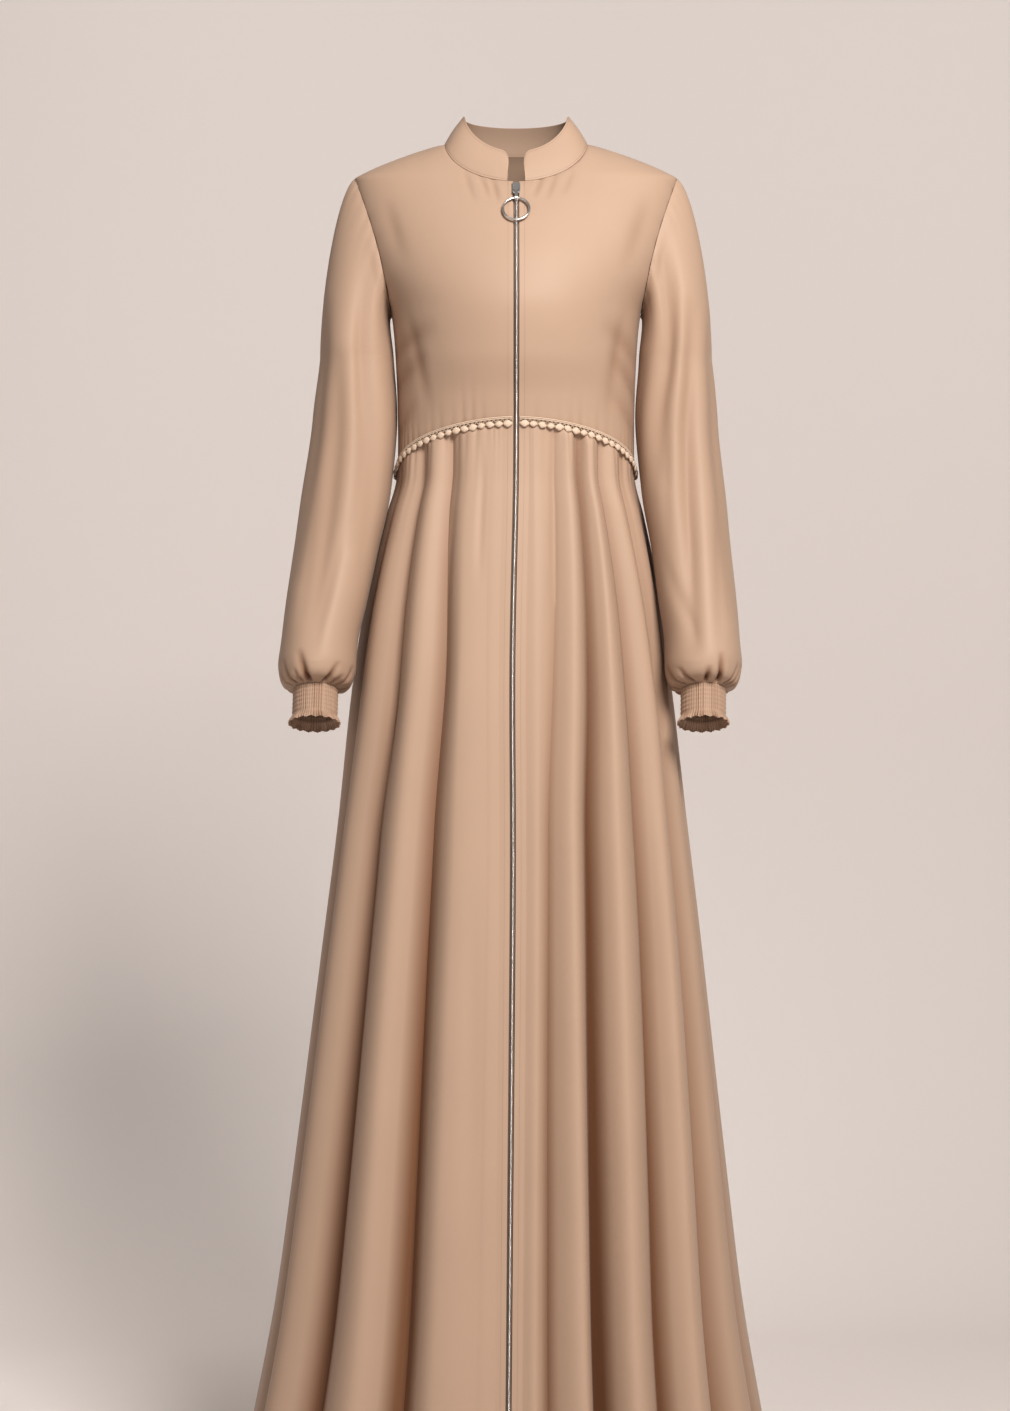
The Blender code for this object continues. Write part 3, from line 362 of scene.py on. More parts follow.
def make_object(name, points, faces, uvs=None):
    """Object from arrays of points, faces of like corner count in groups, and uvs per corner.
    Faces that enclose a negative volume are turned over."""
    fan = np.concatenate([np.stack([group[:, [0, k, k + 1]] for k in range(1, group.shape[1] - 1)], 1)
                          .reshape(-1, 3) for group in faces])
    a, b, c = (points[fan[:, k]] for k in range(3))
    if float(np.einsum("ij,ij->i", a, np.cross(b, c)).sum()) < 0:
        if uvs is not None:
            parts = np.split(uvs, np.cumsum([group.size for group in faces])[:-1])
            uvs = np.concatenate([part.reshape(len(group), -1, 2)[:, ::-1].reshape(-1, 2)
                                  for part, group in zip(parts, faces)])
        faces = [group[:, ::-1] for group in faces]
    corners = np.concatenate([group.ravel() for group in faces]).astype(np.int32)
    counts = np.concatenate([np.full(len(group), group.shape[1], np.int32) for group in faces])
    starts = np.concatenate([[0], np.cumsum(counts)[:-1]]).astype(np.int32)
    mesh = bpy.data.meshes.new(name)
    mesh.vertices.add(len(points))
    mesh.vertices.foreach_set("co", np.ascontiguousarray(points, dtype=np.float32).ravel())
    mesh.loops.add(len(corners))
    mesh.loops.foreach_set("vertex_index", corners)
    mesh.polygons.add(len(counts))
    mesh.polygons.foreach_set("loop_start", starts)
    mesh.update(calc_edges=True)
    if uvs is not None:
        layer = mesh.uv_layers.new(name="cut")
        layer.data.foreach_set("uv", np.ascontiguousarray(uvs, dtype=np.float32).ravel())
    mesh.shade_smooth()
    mesh.set_sharp_from_angle(angle=math.radians(EDGE_ANGLE))
    mesh.validate()
    obj = bpy.data.objects.new(name, mesh)
    bpy.context.scene.collection.objects.link(obj)
    return obj


def cloth_shell(name, outer, inner, depth=None, wrap=False):
    """Closed thin wall between two grids of points, with the cut's map in metres on both faces
    and, where given, the painted shade of each point, from 0 to 1: how far its colour is darkened in the
    folds."""
    rows, cols = outer.shape[:2]
    shift = rows * cols
    index = round_table(rows, cols) if wrap else np.arange(shift).reshape(rows, cols)
    spot = np.arange(index.size).reshape(index.shape)
    uv = grid_uv(outer, wrap).reshape(-1, 2)
    edges = [((0, slice(None, -1)), (0, slice(1, None))), ((-1, slice(1, None)), (-1, slice(None, -1)))]
    if not wrap:
        edges += [((slice(1, None), 0), (slice(None, -1), 0)), ((slice(None, -1), -1), (slice(1, None), -1))]
    faces = [cells(index), cells(index)[:, ::-1] + shift]
    spots = [cells(spot), cells(spot)[:, ::-1]]
    for near, far in edges:
        faces.append(np.stack([index[near], index[far], index[far] + shift, index[near] + shift], -1))
        spots.append(np.stack([spot[near], spot[far], spot[far], spot[near]], -1))
    points = np.concatenate([outer.reshape(-1, 3), inner.reshape(-1, 3)])
    piece = make_object(name, points, faces, np.concatenate([uv[group].reshape(-1, 2) for group in spots]))
    if depth is not None:
        # Painted shade: stored as the fold attribute, which darkens the crepe's colour in folds.
        both = np.clip(np.concatenate([depth.ravel(), depth.ravel()]), 0.0, 1.0).astype(np.float32)
        piece.data.attributes.new("fold", "FLOAT", "POINT").data.foreach_set("value", both)
    return piece


def grooves(across, down, table, period=None):
    """Sum of soft grooves. Each runs along a straight line between two places of the map and is
    a bell across it, fading at both ends as a half sine. Columns: across_0, down_0, across_1,
    down_1, depth, spread."""
    total = np.zeros(np.broadcast(across, down).shape)
    for start_a, start_d, end_a, end_d, depth, spread in table:
        gap = across - start_a
        if period is not None:
            gap = (gap + period / 2) % period - period / 2
        run = np.array([end_a - start_a, end_d - start_d])
        length = float(np.hypot(*run))
        share = (gap * run[0] + (down - start_d) * run[1]) / length**2
        off = (gap * run[1] - (down - start_d) * run[0]) / length
        fade = np.sin(np.pi * np.clip(share, 0.0, 1.0)) ** 1.2
        total = total + depth * fade * np.exp(-(off / spread) ** 2)
    return total


def uneven(at, seed):
    """Slow wander between about -1 and 1 made of three sines with no common period."""
    return (np.sin(at * 1.0 + seed) + 0.7 * np.sin(at * 2.3 + seed * 1.7)
            + 0.5 * np.sin(at * 4.1 + seed * 2.9)) / 2.2


def gathers(place, pitch, seed):
    """Fine gathers: narrow troughs between round crests, unevenly spaced, from 0 down to -1."""
    phase = place / pitch + 0.35 * uneven(place / pitch * 0.37, seed)
    wave = 0.5 - 0.5 * np.cos(2 * np.pi * phase)
    return -(wave ** 1.6) * np.clip(0.60 + 0.50 * uneven(place / pitch * 0.83, seed + 2.0), 0.1, 1.0)


def neck_point(turn, back=False):
    """Point of the neckline: a half ellipse seen from the front, laid on the body's surface."""
    drop = NECK_DROP_BACK if back else NECK_DROP_FRONT
    return body_at(NECK_HALF_WIDTH * np.sin(turn), -drop * np.cos(turn), back)


def armhole_point(share, back=False):
    """Point of the armhole edge: from the shoulder down to the underarm, bowed towards the body."""
    down = (1 - np.cos(np.pi * np.asarray(share, float))) / 2
    bow = ARMHOLE_BOW_BACK if back else ARMHOLE_BOW_FRONT
    x = SHOULDER_X + (UNDERARM_X - SHOULDER_X) * down - bow * np.sin(np.pi * down)
    return body_at(x, SHOULDER_Z + (UNDERARM_Z - SHOULDER_Z) * down, back)


ARMHOLE_CENTRE = np.array([(SHOULDER_X + UNDERARM_X) / 2, 0.0, (SHOULDER_Z + UNDERARM_Z) / 2])
ARMHOLE_AXIS = unit([SHOULDER_Z - UNDERARM_Z, 0.0, UNDERARM_X - SHOULDER_X])


def armhole_normal(points):
    """Direction away from the armhole's middle, in its own plane."""
    spoke = points - ARMHOLE_CENTRE
    return unit(spoke - (spoke @ ARMHOLE_AXIS)[..., None] * ARMHOLE_AXIS)


def neck_normal(points):
    """Direction that halves the corner between the bodice and the collar at the neckline."""
    return unit(unit(points * np.array([1.0, 1.0, 0.0])) + np.array([0.0, 0.0, COLLAR_CORNER_LIFT]))


def coons(top, bottom, left, right):
    """Grid blended between four edges: both pairs of edges mixed, less the mixed corners."""
    u = np.linspace(0, 1, len(top))[None, :, None]
    v = np.linspace(0, 1, len(left))[:, None, None]
    corners = ((1 - u) * (1 - v) * top[0] + u * (1 - v) * top[-1]
               + (1 - u) * v * bottom[0] + u * v * bottom[-1])
    return ((1 - v) * top[None] + v * bottom[None] + (1 - u) * left[:, None] + u * right[:, None]
            - corners)


def onto_body(grid, back):
    """Points moved level onto the body's section at their own heights."""
    angle = section_angle(grid, back)
    return body_point(math.pi - angle if back else angle, grid[..., 2])


# Creases of the bodice, on a map of metres from the centre front and height: across_0, down_0,
# across_1, down_1, depth, spread
BODICE_CREASES_LEFT = (
    (0.100, -0.215, 0.215, -0.262, 0.0024, 0.0110),
    (0.115, -0.245, 0.220, -0.305, 0.0022, 0.0100),
    (0.120, -0.290, 0.215, -0.345, 0.0018, 0.0090),
    (0.150, -0.190, 0.118, -0.330, 0.0018, 0.0120),
    (0.024, -0.040, 0.014, -0.074, 0.0017, 0.0022),
    (0.036, -0.036, 0.025, -0.078, 0.0013, 0.0026),
    (0.052, -0.030, 0.039, -0.072, 0.0009, 0.0032),
    (0.135, -0.060, 0.118, -0.160, 0.0016, 0.0120),
)
BODICE_CREASES_RIGHT = (
    (0.095, -0.220, 0.212, -0.250, 0.0026, 0.0100),
    (0.108, -0.250, 0.218, -0.292, 0.0024, 0.0110),
    (0.130, -0.300, 0.215, -0.350, 0.0016, 0.0090),
    (0.152, -0.196, 0.112, -0.320, 0.0020, 0.0110),
    (0.022, -0.042, 0.015, -0.080, 0.0019, 0.0024),
    (0.033, -0.038, 0.023, -0.074, 0.0014, 0.0024),
    (0.047, -0.032, 0.036, -0.080, 0.0011, 0.0032),
    (0.132, -0.064, 0.120, -0.150, 0.0014, 0.0110),
)
BODICE_CREASES_BACK = (
    (0.020, -0.060, 0.120, -0.090, 0.0016, 0.0110),
    (0.040, -0.250, 0.215, -0.280, 0.0022, 0.0110),
    (0.020, -0.290, 0.200, -0.330, 0.0020, 0.0100),
    (0.060, -0.340, 0.218, -0.362, 0.0016, 0.0080),
    (0.150, -0.190, 0.110, -0.330, 0.0022, 0.0120),
)
# Halves of the bodice: whether at the back, creases, seed
BODICE_PARTS = {
    "front_left": (False, BODICE_CREASES_LEFT, 1.0),
    "front_right": (False, BODICE_CREASES_RIGHT, 2.3),
    "back": (True, BODICE_CREASES_BACK, 3.7),
}
# Bodice grid: its size, and the shares of it along the shoulder and down the armhole
BODICE_COLUMNS = 104
BODICE_ROWS = 72
SHOULDER_SHARE = 0.48
ARMHOLE_SHARE = 0.72
ARMHOLE_LENGTH = 0.20
MAP_RADIUS = 0.140
# Painted shade: share of the darker tone painted into the cloth's colour in its folds, gathers and pinches,
# that each metre of depth adds
BODICE_PAINTED_FOLD_SHADE = 110.0
SKIRT_PAINTED_FOLD_SHADE = 54.0
SKIRT_PAINTED_GATHER_SHADE = 160.0
SLEEVE_PAINTED_FOLD_SHADE = 26.0
PINCH_PAINTED_SHADE = 190.0
CUFF_PAINTED_SHADE = 0.75
# Flat stretch beside the zip, in placket widths: where the gathers start and where they are full
FLAT_START = 0.8
FLAT_END_BODICE = 2.0
FLAT_END_SKIRT = 1.8
# Gathers at the waist seam: seam length and pitch, mean reach and its wander as shares of the
# gather length, steps of the wander, least reach, power of the fade, share of the gather depth
WAIST_GATHERS = {
    "bodice": (0.235, 0.0150, 0.60, 0.45, 23.0, 0.006, 1.3, 0.8),
    "skirt": (0.225, 0.0105, 1.00, 0.75, 19.0, 0.012, 1.1, 1.0),
}
# Puckers beside the armhole seam: pitch, fade and depth
PUCKERS = {"bodice": (0.0160, 0.012, 0.0007), "sleeve": (0.0150, 0.014, 0.0009)}
# Dips beside the seams: fade and depth
DIPS = {
    "armhole": (0.0030, 0.0004),
    "neckline": (0.0025, 0.0008),
    "waist": (0.0020, 0.0006),
    "sleeve_head": (0.0022, 0.0005),
}


def waist_gathers(kind, place, distance, seed, reach_seed, cloth):
    """Gathers at the waist seam: each fades over its own uneven reach from the seam."""
    seam, pitch, mean, wander, steps, least, power, share = WAIST_GATHERS[kind]
    reach = cloth.gather_length * (mean + wander * uneven(place * steps, reach_seed))
    fade = np.exp(-(distance / np.maximum(reach, least)[None, :]) ** power)
    return -gathers(place * seam, pitch, seed)[None, :] * fade * cloth.gather_depth * share


def puckers(kind, place, distance, seed):
    """Puckers beside the armhole seam: gathers along it that fade with the distance from it."""
    pitch, fade, depth = PUCKERS[kind]
    return -gathers(place, pitch, seed) * np.exp(-distance / fade) * depth


def dip(seam, distance):
    """Dip beside a seam, fading with the distance from it."""
    fade, depth = DIPS[seam]
    return depth * np.exp(-np.abs(distance) / fade)


def half_bodice(part, cloth):
    """Outer points, outward directions and painted fold shade of half the bodice: the four edges laid on
    the body and blended, pushed in along the creases, gathers and armhole puckers."""
    back, creases, seed = BODICE_PARTS[part]
    quarter = math.pi / 2
    start = 0.0 if back else ZIP_EDGE
    neck_count = int(BODICE_COLUMNS * (1 - SHOULDER_SHARE))
    neck = neck_point(np.linspace(math.asin(start / NECK_HALF_WIDTH), quarter, neck_count), back)
    shoulder_z = np.linspace(0.0, SHOULDER_Z, BODICE_COLUMNS - neck_count + 1)[1:]
    top = np.concatenate([neck, body_point(np.full(len(shoulder_z), quarter), shoulder_z)])
    half = float(body_size("half_width", WAIST_SIDE_Z if back else WAIST_FRONT_Z))
    low_angles = np.linspace(math.asin(start / half), quarter, BODICE_COLUMNS)
    if back:
        low_angles = math.pi - low_angles
    low_z = waist_z(low_angles) + SEAM_GAP / 2
    bottom = body_point(low_angles, low_z)
    left = body_at(start, np.linspace(top[0, 2], bottom[0, 2], BODICE_ROWS), back)
    arm_count = int(BODICE_ROWS * ARMHOLE_SHARE)
    arm = armhole_point(np.linspace(0, 1, arm_count), back)
    side_z = np.linspace(UNDERARM_Z, bottom[-1, 2], BODICE_ROWS - arm_count + 1)[1:]
    side = body_point(np.full(len(side_z), quarter), side_z)
    grid = onto_body(coons(top, bottom, left, np.concatenate([arm, side])), back)

    normals = grid_normals(grid, flip=back)
    across = section_angle(grid, back) * MAP_RADIUS
    above = grid[..., 2] - (low_z - SEAM_GAP)[None, :]
    to_arm = np.linalg.norm(grid[:, -1:] - grid, axis=2)
    to_top = np.linalg.norm(grid - grid[:1], axis=2)
    arm_only = np.zeros((BODICE_ROWS, 1))
    arm_only[:arm_count, 0] = np.sin(np.pi * np.linspace(0, 1, arm_count)) ** 0.5
    count = np.linspace(0, 1, BODICE_COLUMNS)
    dent = waist_gathers("bodice", count, above, seed, seed, cloth)
    dent = dent * soft_step(PLACKET * FLAT_START, PLACKET * FLAT_END_BODICE, across)
    dent = dent + grooves(across, grid[..., 2], creases)
    place = np.linspace(0, ARMHOLE_LENGTH, BODICE_ROWS)[:, None]
    dent = dent + puckers("bodice", place, to_arm, seed + 4) * arm_only
    dips = dip("armhole", to_arm) * arm_only + dip("neckline", to_top) + dip("waist", above)
    grid = grid - normals * (dent + dips)[..., None]

    normals = grid_normals(grid, flip=back)
    normals[:, 0, 0] = 0.0
    normals[1:arm_count - 1, -1] = armhole_normal(arm[1:-1])
    normals[arm_count - 1, -1] = unit([1.0, 0.0, -1.0])
    normals[arm_count:, -1] = [1.0, 0.0, 0.0]
    normals[0, :neck_count] = neck_normal(neck)
    normals[0, neck_count - 1:] = unit([-SHOULDER_Z, 0.0, SHOULDER_X - NECK_HALF_WIDTH])
    seam_y = SEAM_GAP / 2 if back else -SEAM_GAP / 2
    grid[0, neck_count - 1:, 1] = seam_y
    grid[arm_count - 1:, -1, 1] = seam_y
    # Painted shade: the depth pushed in darkens the colour in the creases, gathers and puckers.
    return grid, unit(normals), dent * BODICE_PAINTED_FOLD_SHADE


MIRROR = np.array([-1.0, 1.0, 1.0])


def mirrored_bodice(grid):
    """Bodice points mirrored to the other side."""
    return grid * MIRROR


def rider(piece, material, body, nodes=()):
    """Gives a piece its material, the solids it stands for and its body."""
    piece.data.materials.append(material)
    if nodes:
        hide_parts(*nodes)
    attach(piece, body)


def dress(piece, material, node):
    """Gives a cloth piece its material, solid, body and slot."""
    rider(piece, material, BODY, [node])


def build_panels(form, make_half, mirror, cloth, material):
    """The two fronts and the back of the bodice or skirt as thin shells: the left front as made,
    the right front mirrored, the back joined from its half and that half mirrored."""
    for part in ("front_left", "front_right", "back"):
        # depth is the painted fold shade of each point.
        grid, normals, depth = make_half(part, cloth)
        inner = grid - normals * cloth.wall
        layers = (grid, inner, depth)
        twins = (mirror(grid), mirror(inner), depth)
        if part == "front_right":
            layers = [twin[:, ::-1] for twin in twins]
        elif part == "back":
            layers = [np.concatenate([layer[:, ::-1], twin[:, 1:]], axis=1)
                      for layer, twin in zip(layers, twins)]
        node = f"{form}_{part}"
        dress(cloth_shell(f"{node}_cloth", *layers), material, node)


SKIRT_ROW_COUNT = 132
# Share of the skirt's rows that are evenly spaced; the others crowd towards the waist
EVEN_ROWS = 0.35
HEM_TURN = 0.025
HEM_GROOVE_DEPTH = 0.0004
HEM_GROOVE_WIDTH = 0.0009
# Extra depth of the folds just below the waist seam, as a share of their depth at the hem
SEAM_FOLDS = 0.16
SEAM_FOLDS_START = 0.012
SEAM_FOLDS_LENGTH = 0.110
# Reach of a fold below which painted shade darkens its colour
PAINTED_SHADE_FROM_REACH = -0.0015


def fold_shape(folds, start_x, share, per_fold):
    """Angle, reach out and aside of fine columns between the fold lines. Between a valley and a
    ridge the reach follows a blend of a cosine ease and a quarter sine, which leaves the valleys
    narrow and the ridges round."""
    centre_top = float(waist_z(0.0))
    z = centre_top + (HEM_Z - centre_top) * share
    stations = np.array(FOLD_STATIONS_Z)[::-1]
    below = centre_top - z
    at_seam = SEAM_FOLDS * np.exp(-below / SEAM_FOLDS_LENGTH) * soft_step(0.0, SEAM_FOLDS_START, below)
    growth = share**FOLD_GROWTH + at_seam
    width = body_size("half_width", z)
    still = 0.0 * z
    columns = [(np.arcsin(start_x / width), still, still)]
    if start_x > 0:
        columns.append((np.arcsin(PLACKET / width), still, still))
    for fold in folds:
        columns.append((np.radians(through(stations, np.array(fold[:4])[::-1], z)),
                        fold[FOLD_COLUMNS.index("out")] * growth,
                        fold[FOLD_COLUMNS.index("aside")] * growth))
    columns.append((np.full_like(z, math.pi / 2), still, still))
    lines, outs, asides = (np.array(part) for part in zip(*columns))
    at = np.linspace(0, len(lines) - 1, (len(lines) - 1) * per_fold + 1)
    left = np.minimum(at.astype(int), len(lines) - 2)
    t = (at - left)[:, None]
    rising = outs[left + 1] >= outs[left]
    run = np.where(rising, t, 1 - t)
    ease = (1 - np.cos(np.pi * run)) / 2
    bend = (1 - FOLD_CRISPNESS) * ease + FOLD_CRISPNESS * np.sin(np.pi * run / 2)
    low = np.minimum(outs[left], outs[left + 1])
    high = np.maximum(outs[left], outs[left + 1])
    smooth = (1 - np.cos(np.pi * t)) / 2
    angle = lines[left] * (1 - t) + lines[left + 1] * t
    out = low + (high - low) * bend
    aside = asides[left] * (1 - smooth) + asides[left + 1] * smooth
    return angle.T, out.T, aside.T, at / (len(lines) - 1)


def skirt_quarter(part, cloth):
    """Outer points, outward directions and painted fold shade of a quarter of the skirt, centre to side."""
    folds, start_x, creases, per_fold, seed = SKIRT_PARTS[part]
    back = part == "back"
    even = np.linspace(0, 1, SKIRT_ROW_COUNT)
    share = EVEN_ROWS * even + (1 - EVEN_ROWS) * even**2.0
    angles, outs, asides, place = fold_shape(folds, start_x, share, per_fold)
    if back:
        asides = -asides
    turned = math.pi - angles if back else angles
    top = waist_z(turned) - SEAM_GAP / 2
    z = top + (HEM_Z - top) * share[:, None]
    fine = waist_gathers("skirt", place, top - z, seed, seed + 1, cloth)
    dent = fine
    if not back:
        from_zip = angles * body_size("half_width", z)
        dent = dent * soft_step(PLACKET * FLAT_START, PLACKET * FLAT_END_SKIRT, from_zip)
    dent = dent + grooves(angles * MAP_RADIUS, z, creases) + dip("waist", top - z)
    dent = dent + HEM_GROOVE_DEPTH * np.exp(-((z - HEM_Z - HEM_TURN) / HEM_GROOVE_WIDTH) ** 2)
    grid = body_point(turned, z, outs - dent, asides)
    normals = grid_normals(grid, flip=back)
    normals[:, -1] = unit(normals[:, -1] * np.array([1.0, 0.0, 1.0]))
    normals[:, 0] = unit(normals[:, 0] * np.array([0.0, 1.0, 1.0]))
    grid[:, -1, 1] = SEAM_GAP / 2 if back else -SEAM_GAP / 2
    # Painted shade: colour darkened in the fold valleys and the waist gathers.
    return grid, normals, (PAINTED_SHADE_FROM_REACH - outs) * SKIRT_PAINTED_FOLD_SHADE + fine * SKIRT_PAINTED_GATHER_SHADE


def mirrored_skirt(grid):
    """Skirt points mirrored about the leaning centre line."""
    lean = np.zeros_like(grid)
    lean[..., 0] = 2 * centre_x(grid[..., 2])
    return grid * MIRROR + lean


# Creases of the skirt, on a map of metres round from the centre and height
SKIRT_CREASES_LEFT = (
    (0.045, -0.350, 0.035, -0.560, 0.0016, 0.0040),
    (0.090, -0.360, 0.084, -0.640, 0.0018, 0.0045),
    (0.150, -0.385, 0.150, -0.700, 0.0020, 0.0060),
    (0.185, -0.400, 0.190, -0.620, 0.0016, 0.0050),
    (0.120, -0.700, 0.108, -1.250, 0.0022, 0.0060),
)
SKIRT_CREASES_RIGHT = (
    (0.040, -0.350, 0.032, -0.520, 0.0014, 0.0040),
    (0.072, -0.360, 0.060, -0.700, 0.0018, 0.0050),
    (0.130, -0.380, 0.112, -0.760, 0.0020, 0.0050),
    (0.170, -0.400, 0.172, -0.640, 0.0018, 0.0060),
    (0.030, -0.800, 0.022, -1.350, 0.0016, 0.0060),
)
SKIRT_CREASES_BACK = (
    (0.030, -0.400, 0.028, -0.620, 0.0018, 0.0050),
    (0.085, -0.400, 0.088, -0.700, 0.0018, 0.0050),
    (0.140, -0.400, 0.142, -0.640, 0.0020, 0.0060),
    (0.180, -0.420, 0.186, -0.760, 0.0018, 0.0060),
)


# Quarters of the skirt: folds, edge at the centre, creases, columns from fold to fold, seed
SKIRT_PARTS = {
    "front_left": (FOLDS_FRONT_LEFT, ZIP_EDGE, SKIRT_CREASES_LEFT, 14, 5.0),
    "front_right": (FOLDS_FRONT_RIGHT, ZIP_EDGE, SKIRT_CREASES_RIGHT, 18, 6.1),
    "back": (FOLDS_BACK_HALF, 0.0, SKIRT_CREASES_BACK, 12, 7.4),
}


def sleeve_ring(row, turns):
    """Section of a sleeve: a tilted ellipse whose turns run from the outside over the front."""
    z, x, half_x, y, half_y, tilt = row
    forward = half_y * np.sin(turns)
    return np.stack([x + half_x * np.cos(turns), y - forward, z + forward * math.tan(math.radians(tilt))], -1)


def cuff_normal(turns):
    """Direction out of the cuff in its own tilted plane."""
    _, _, half_x, _, half_y, tilt = SLEEVE_ROWS[-1]
    forward = np.sin(turns) / half_y
    return unit(np.stack([np.cos(turns) / half_x, -forward, forward * math.tan(math.radians(tilt))], -1))


def sleeve_dent(folds, z, turns):
    """Depth of the long folds: a bell round the sleeve, rising and fading along it."""
    dent = np.zeros_like(z)
    for top_z, low_z, at_top, at_low, depth, spread in folds:
        share = np.clip((top_z - z) / (top_z - low_z), 0.0, 1.0)
        middle = np.radians(at_top + (at_low - at_top) * share)
        off = (turns - middle + np.pi) % (2 * np.pi) - np.pi
        dent = dent + depth * np.sin(np.pi * share) ** 0.7 * np.exp(-(off / math.radians(spread)) ** 2)
    return dent


# Extra fullness of the right sleeve towards the body
RIGHT_SLEEVE_FULLER = 0.0065
FULLER_Z = -0.430
FULLER_SPREAD = 0.120
SLEEVE_TURNS = 196
SLEEVE_HEAD = 26
SLEEVE_BODY = 86

# Finer creases of each sleeve: turn in degrees and height at both ends, depth, spread in degrees
SLEEVE_CREASES_LEFT = (
    (75.0, -0.120, 108.0, -0.300, 0.0019, 8.5),
    (100.0, -0.300, 128.0, -0.470, 0.0016, 8.5),
    (45.0, -0.420, 70.0, -0.600, 0.0018, 10.2),
    (140.0, -0.480, 96.0, -0.600, 0.0018, 10.2),
    (10.0, -0.330, 22.0, -0.580, 0.0014, 11.9),
    (150.0, -0.240, 178.0, -0.420, 0.0016, 11.9),
    (200.0, -0.280, 230.0, -0.560, 0.0016, 11.9),
    (300.0, -0.120, 270.0, -0.420, 0.0016, 11.9),
    (330.0, -0.360, 345.0, -0.600, 0.0014, 11.9),
)
SLEEVE_CREASES_RIGHT = (
    (88.0, -0.140, 102.0, -0.360, 0.0015, 8.5),
    (120.0, -0.280, 138.0, -0.520, 0.0016, 10.2),
    (50.0, -0.380, 62.0, -0.590, 0.0016, 10.2),
    (100.0, -0.430, 90.0, -0.600, 0.0016, 8.5),
    (14.0, -0.300, 20.0, -0.560, 0.0012, 11.9),
    (160.0, -0.240, 182.0, -0.440, 0.0016, 11.9),
    (210.0, -0.260, 226.0, -0.580, 0.0016, 11.9),
    (290.0, -0.140, 268.0, -0.400, 0.0015, 11.9),
    (326.0, -0.340, 340.0, -0.590, 0.0014, 11.9),
)


# Pinches above each cuff: turn in degrees at the cuff and at the top, length, depth share, width
PINCHES_RIGHT = (
    (24.0, 16.0, 0.034, 0.55, 0.0022),
    (43.0, 33.0, 0.040, 0.80, 0.0024),
    (61.0, 55.0, 0.028, 0.55, 0.0022),
    (79.0, 64.0, 0.050, 1.25, 0.0040),
    (110.0, 128.0, 0.036, 1.05, 0.0030),
    (132.0, 140.0, 0.022, 0.60, 0.0022),
    (153.0, 162.0, 0.036, 0.90, 0.0026),
    (188.0, 184.0, 0.030, 0.70, 0.0026),
    (222.0, 230.0, 0.042, 1.00, 0.0030),
    (262.0, 255.0, 0.030, 0.80, 0.0026),
    (300.0, 306.0, 0.044, 1.00, 0.0030),
    (336.0, 340.0, 0.028, 0.70, 0.0024),
)
PINCHES_LEFT = (
    (12.0, 2.0, 0.036, 0.70, 0.0022),
    (26.0, 14.0, 0.040, 0.85, 0.0022),
    (38.0, 28.0, 0.038, 0.75, 0.0022),
    (60.0, 66.0, 0.046, 1.30, 0.0032),
    (89.0, 84.0, 0.030, 1.10, 0.0028),
    (116.0, 136.0, 0.030, 0.95, 0.0028),
    (146.0, 168.0, 0.040, 0.90, 0.0030),
    (182.0, 186.0, 0.028, 0.80, 0.0026),
    (214.0, 206.0, 0.040, 1.00, 0.0030),
    (250.0, 258.0, 0.030, 0.70, 0.0024),
    (288.0, 282.0, 0.044, 1.00, 0.0030),
    (328.0, 334.0, 0.030, 0.80, 0.0026),
)


def pinches_above_cuff(pinches, up, turns, depth):
    """Depth of the pinches: each is a bell across a line that leans as it rises from the cuff,
    deepest near the cuff, wider and shallower towards its top."""
    total = np.zeros_like(up)
    radius = SLEEVE_ROWS[-1][SLEEVE_COLUMNS.index("half_x")]
    for at_cuff, at_top, length, share_of_depth, width in pinches:
        share = np.clip(up / length, 0.0, 1.0)
        middle = np.radians(at_cuff + (at_top - at_cuff) * share)
        off = ((turns - middle + np.pi) % (2 * np.pi) - np.pi) * (radius + up * 0.4)
        bell = np.exp(-(off / (width * (0.55 + 0.75 * share))) ** 2)
        total = total + depth * share_of_depth * (1 - share) ** 0.9 * bell
    return total * soft_step(0.0, 0.0035, up)


# Sleeves: direction to the side, seeds of the sleeve and its cuff, folds, creases, pinches
SLEEVE_PARTS = {
    "left": (1, 8.2, 3.1, SLEEVE_FOLDS_LEFT, SLEEVE_CREASES_LEFT, PINCHES_LEFT),
    "right": (-1, 9.6, 4.4, SLEEVE_FOLDS_RIGHT, SLEEVE_CREASES_RIGHT, PINCHES_RIGHT),
}
# Map of the creases, in metres a degree, and where they start below the armhole
CREASE_SCALE = 0.0009
CREASE_START = 0.020
# Gathers over the cuff's seam and puckers round the armhole: radius they are spaced on
SEAM_RADIUS = 0.030
SEAM_GATHERS = 30
SEAM_GATHER_REACH = 0.005
SEAM_GATHER_SHARE = 0.25
SEAM_FLAT = 0.002
HEAD_RADIUS = 0.062
# Powers that crowd the rings of the sleeve's head and body
HEAD_SPACING = 1.15
BODY_SPACING = 0.85


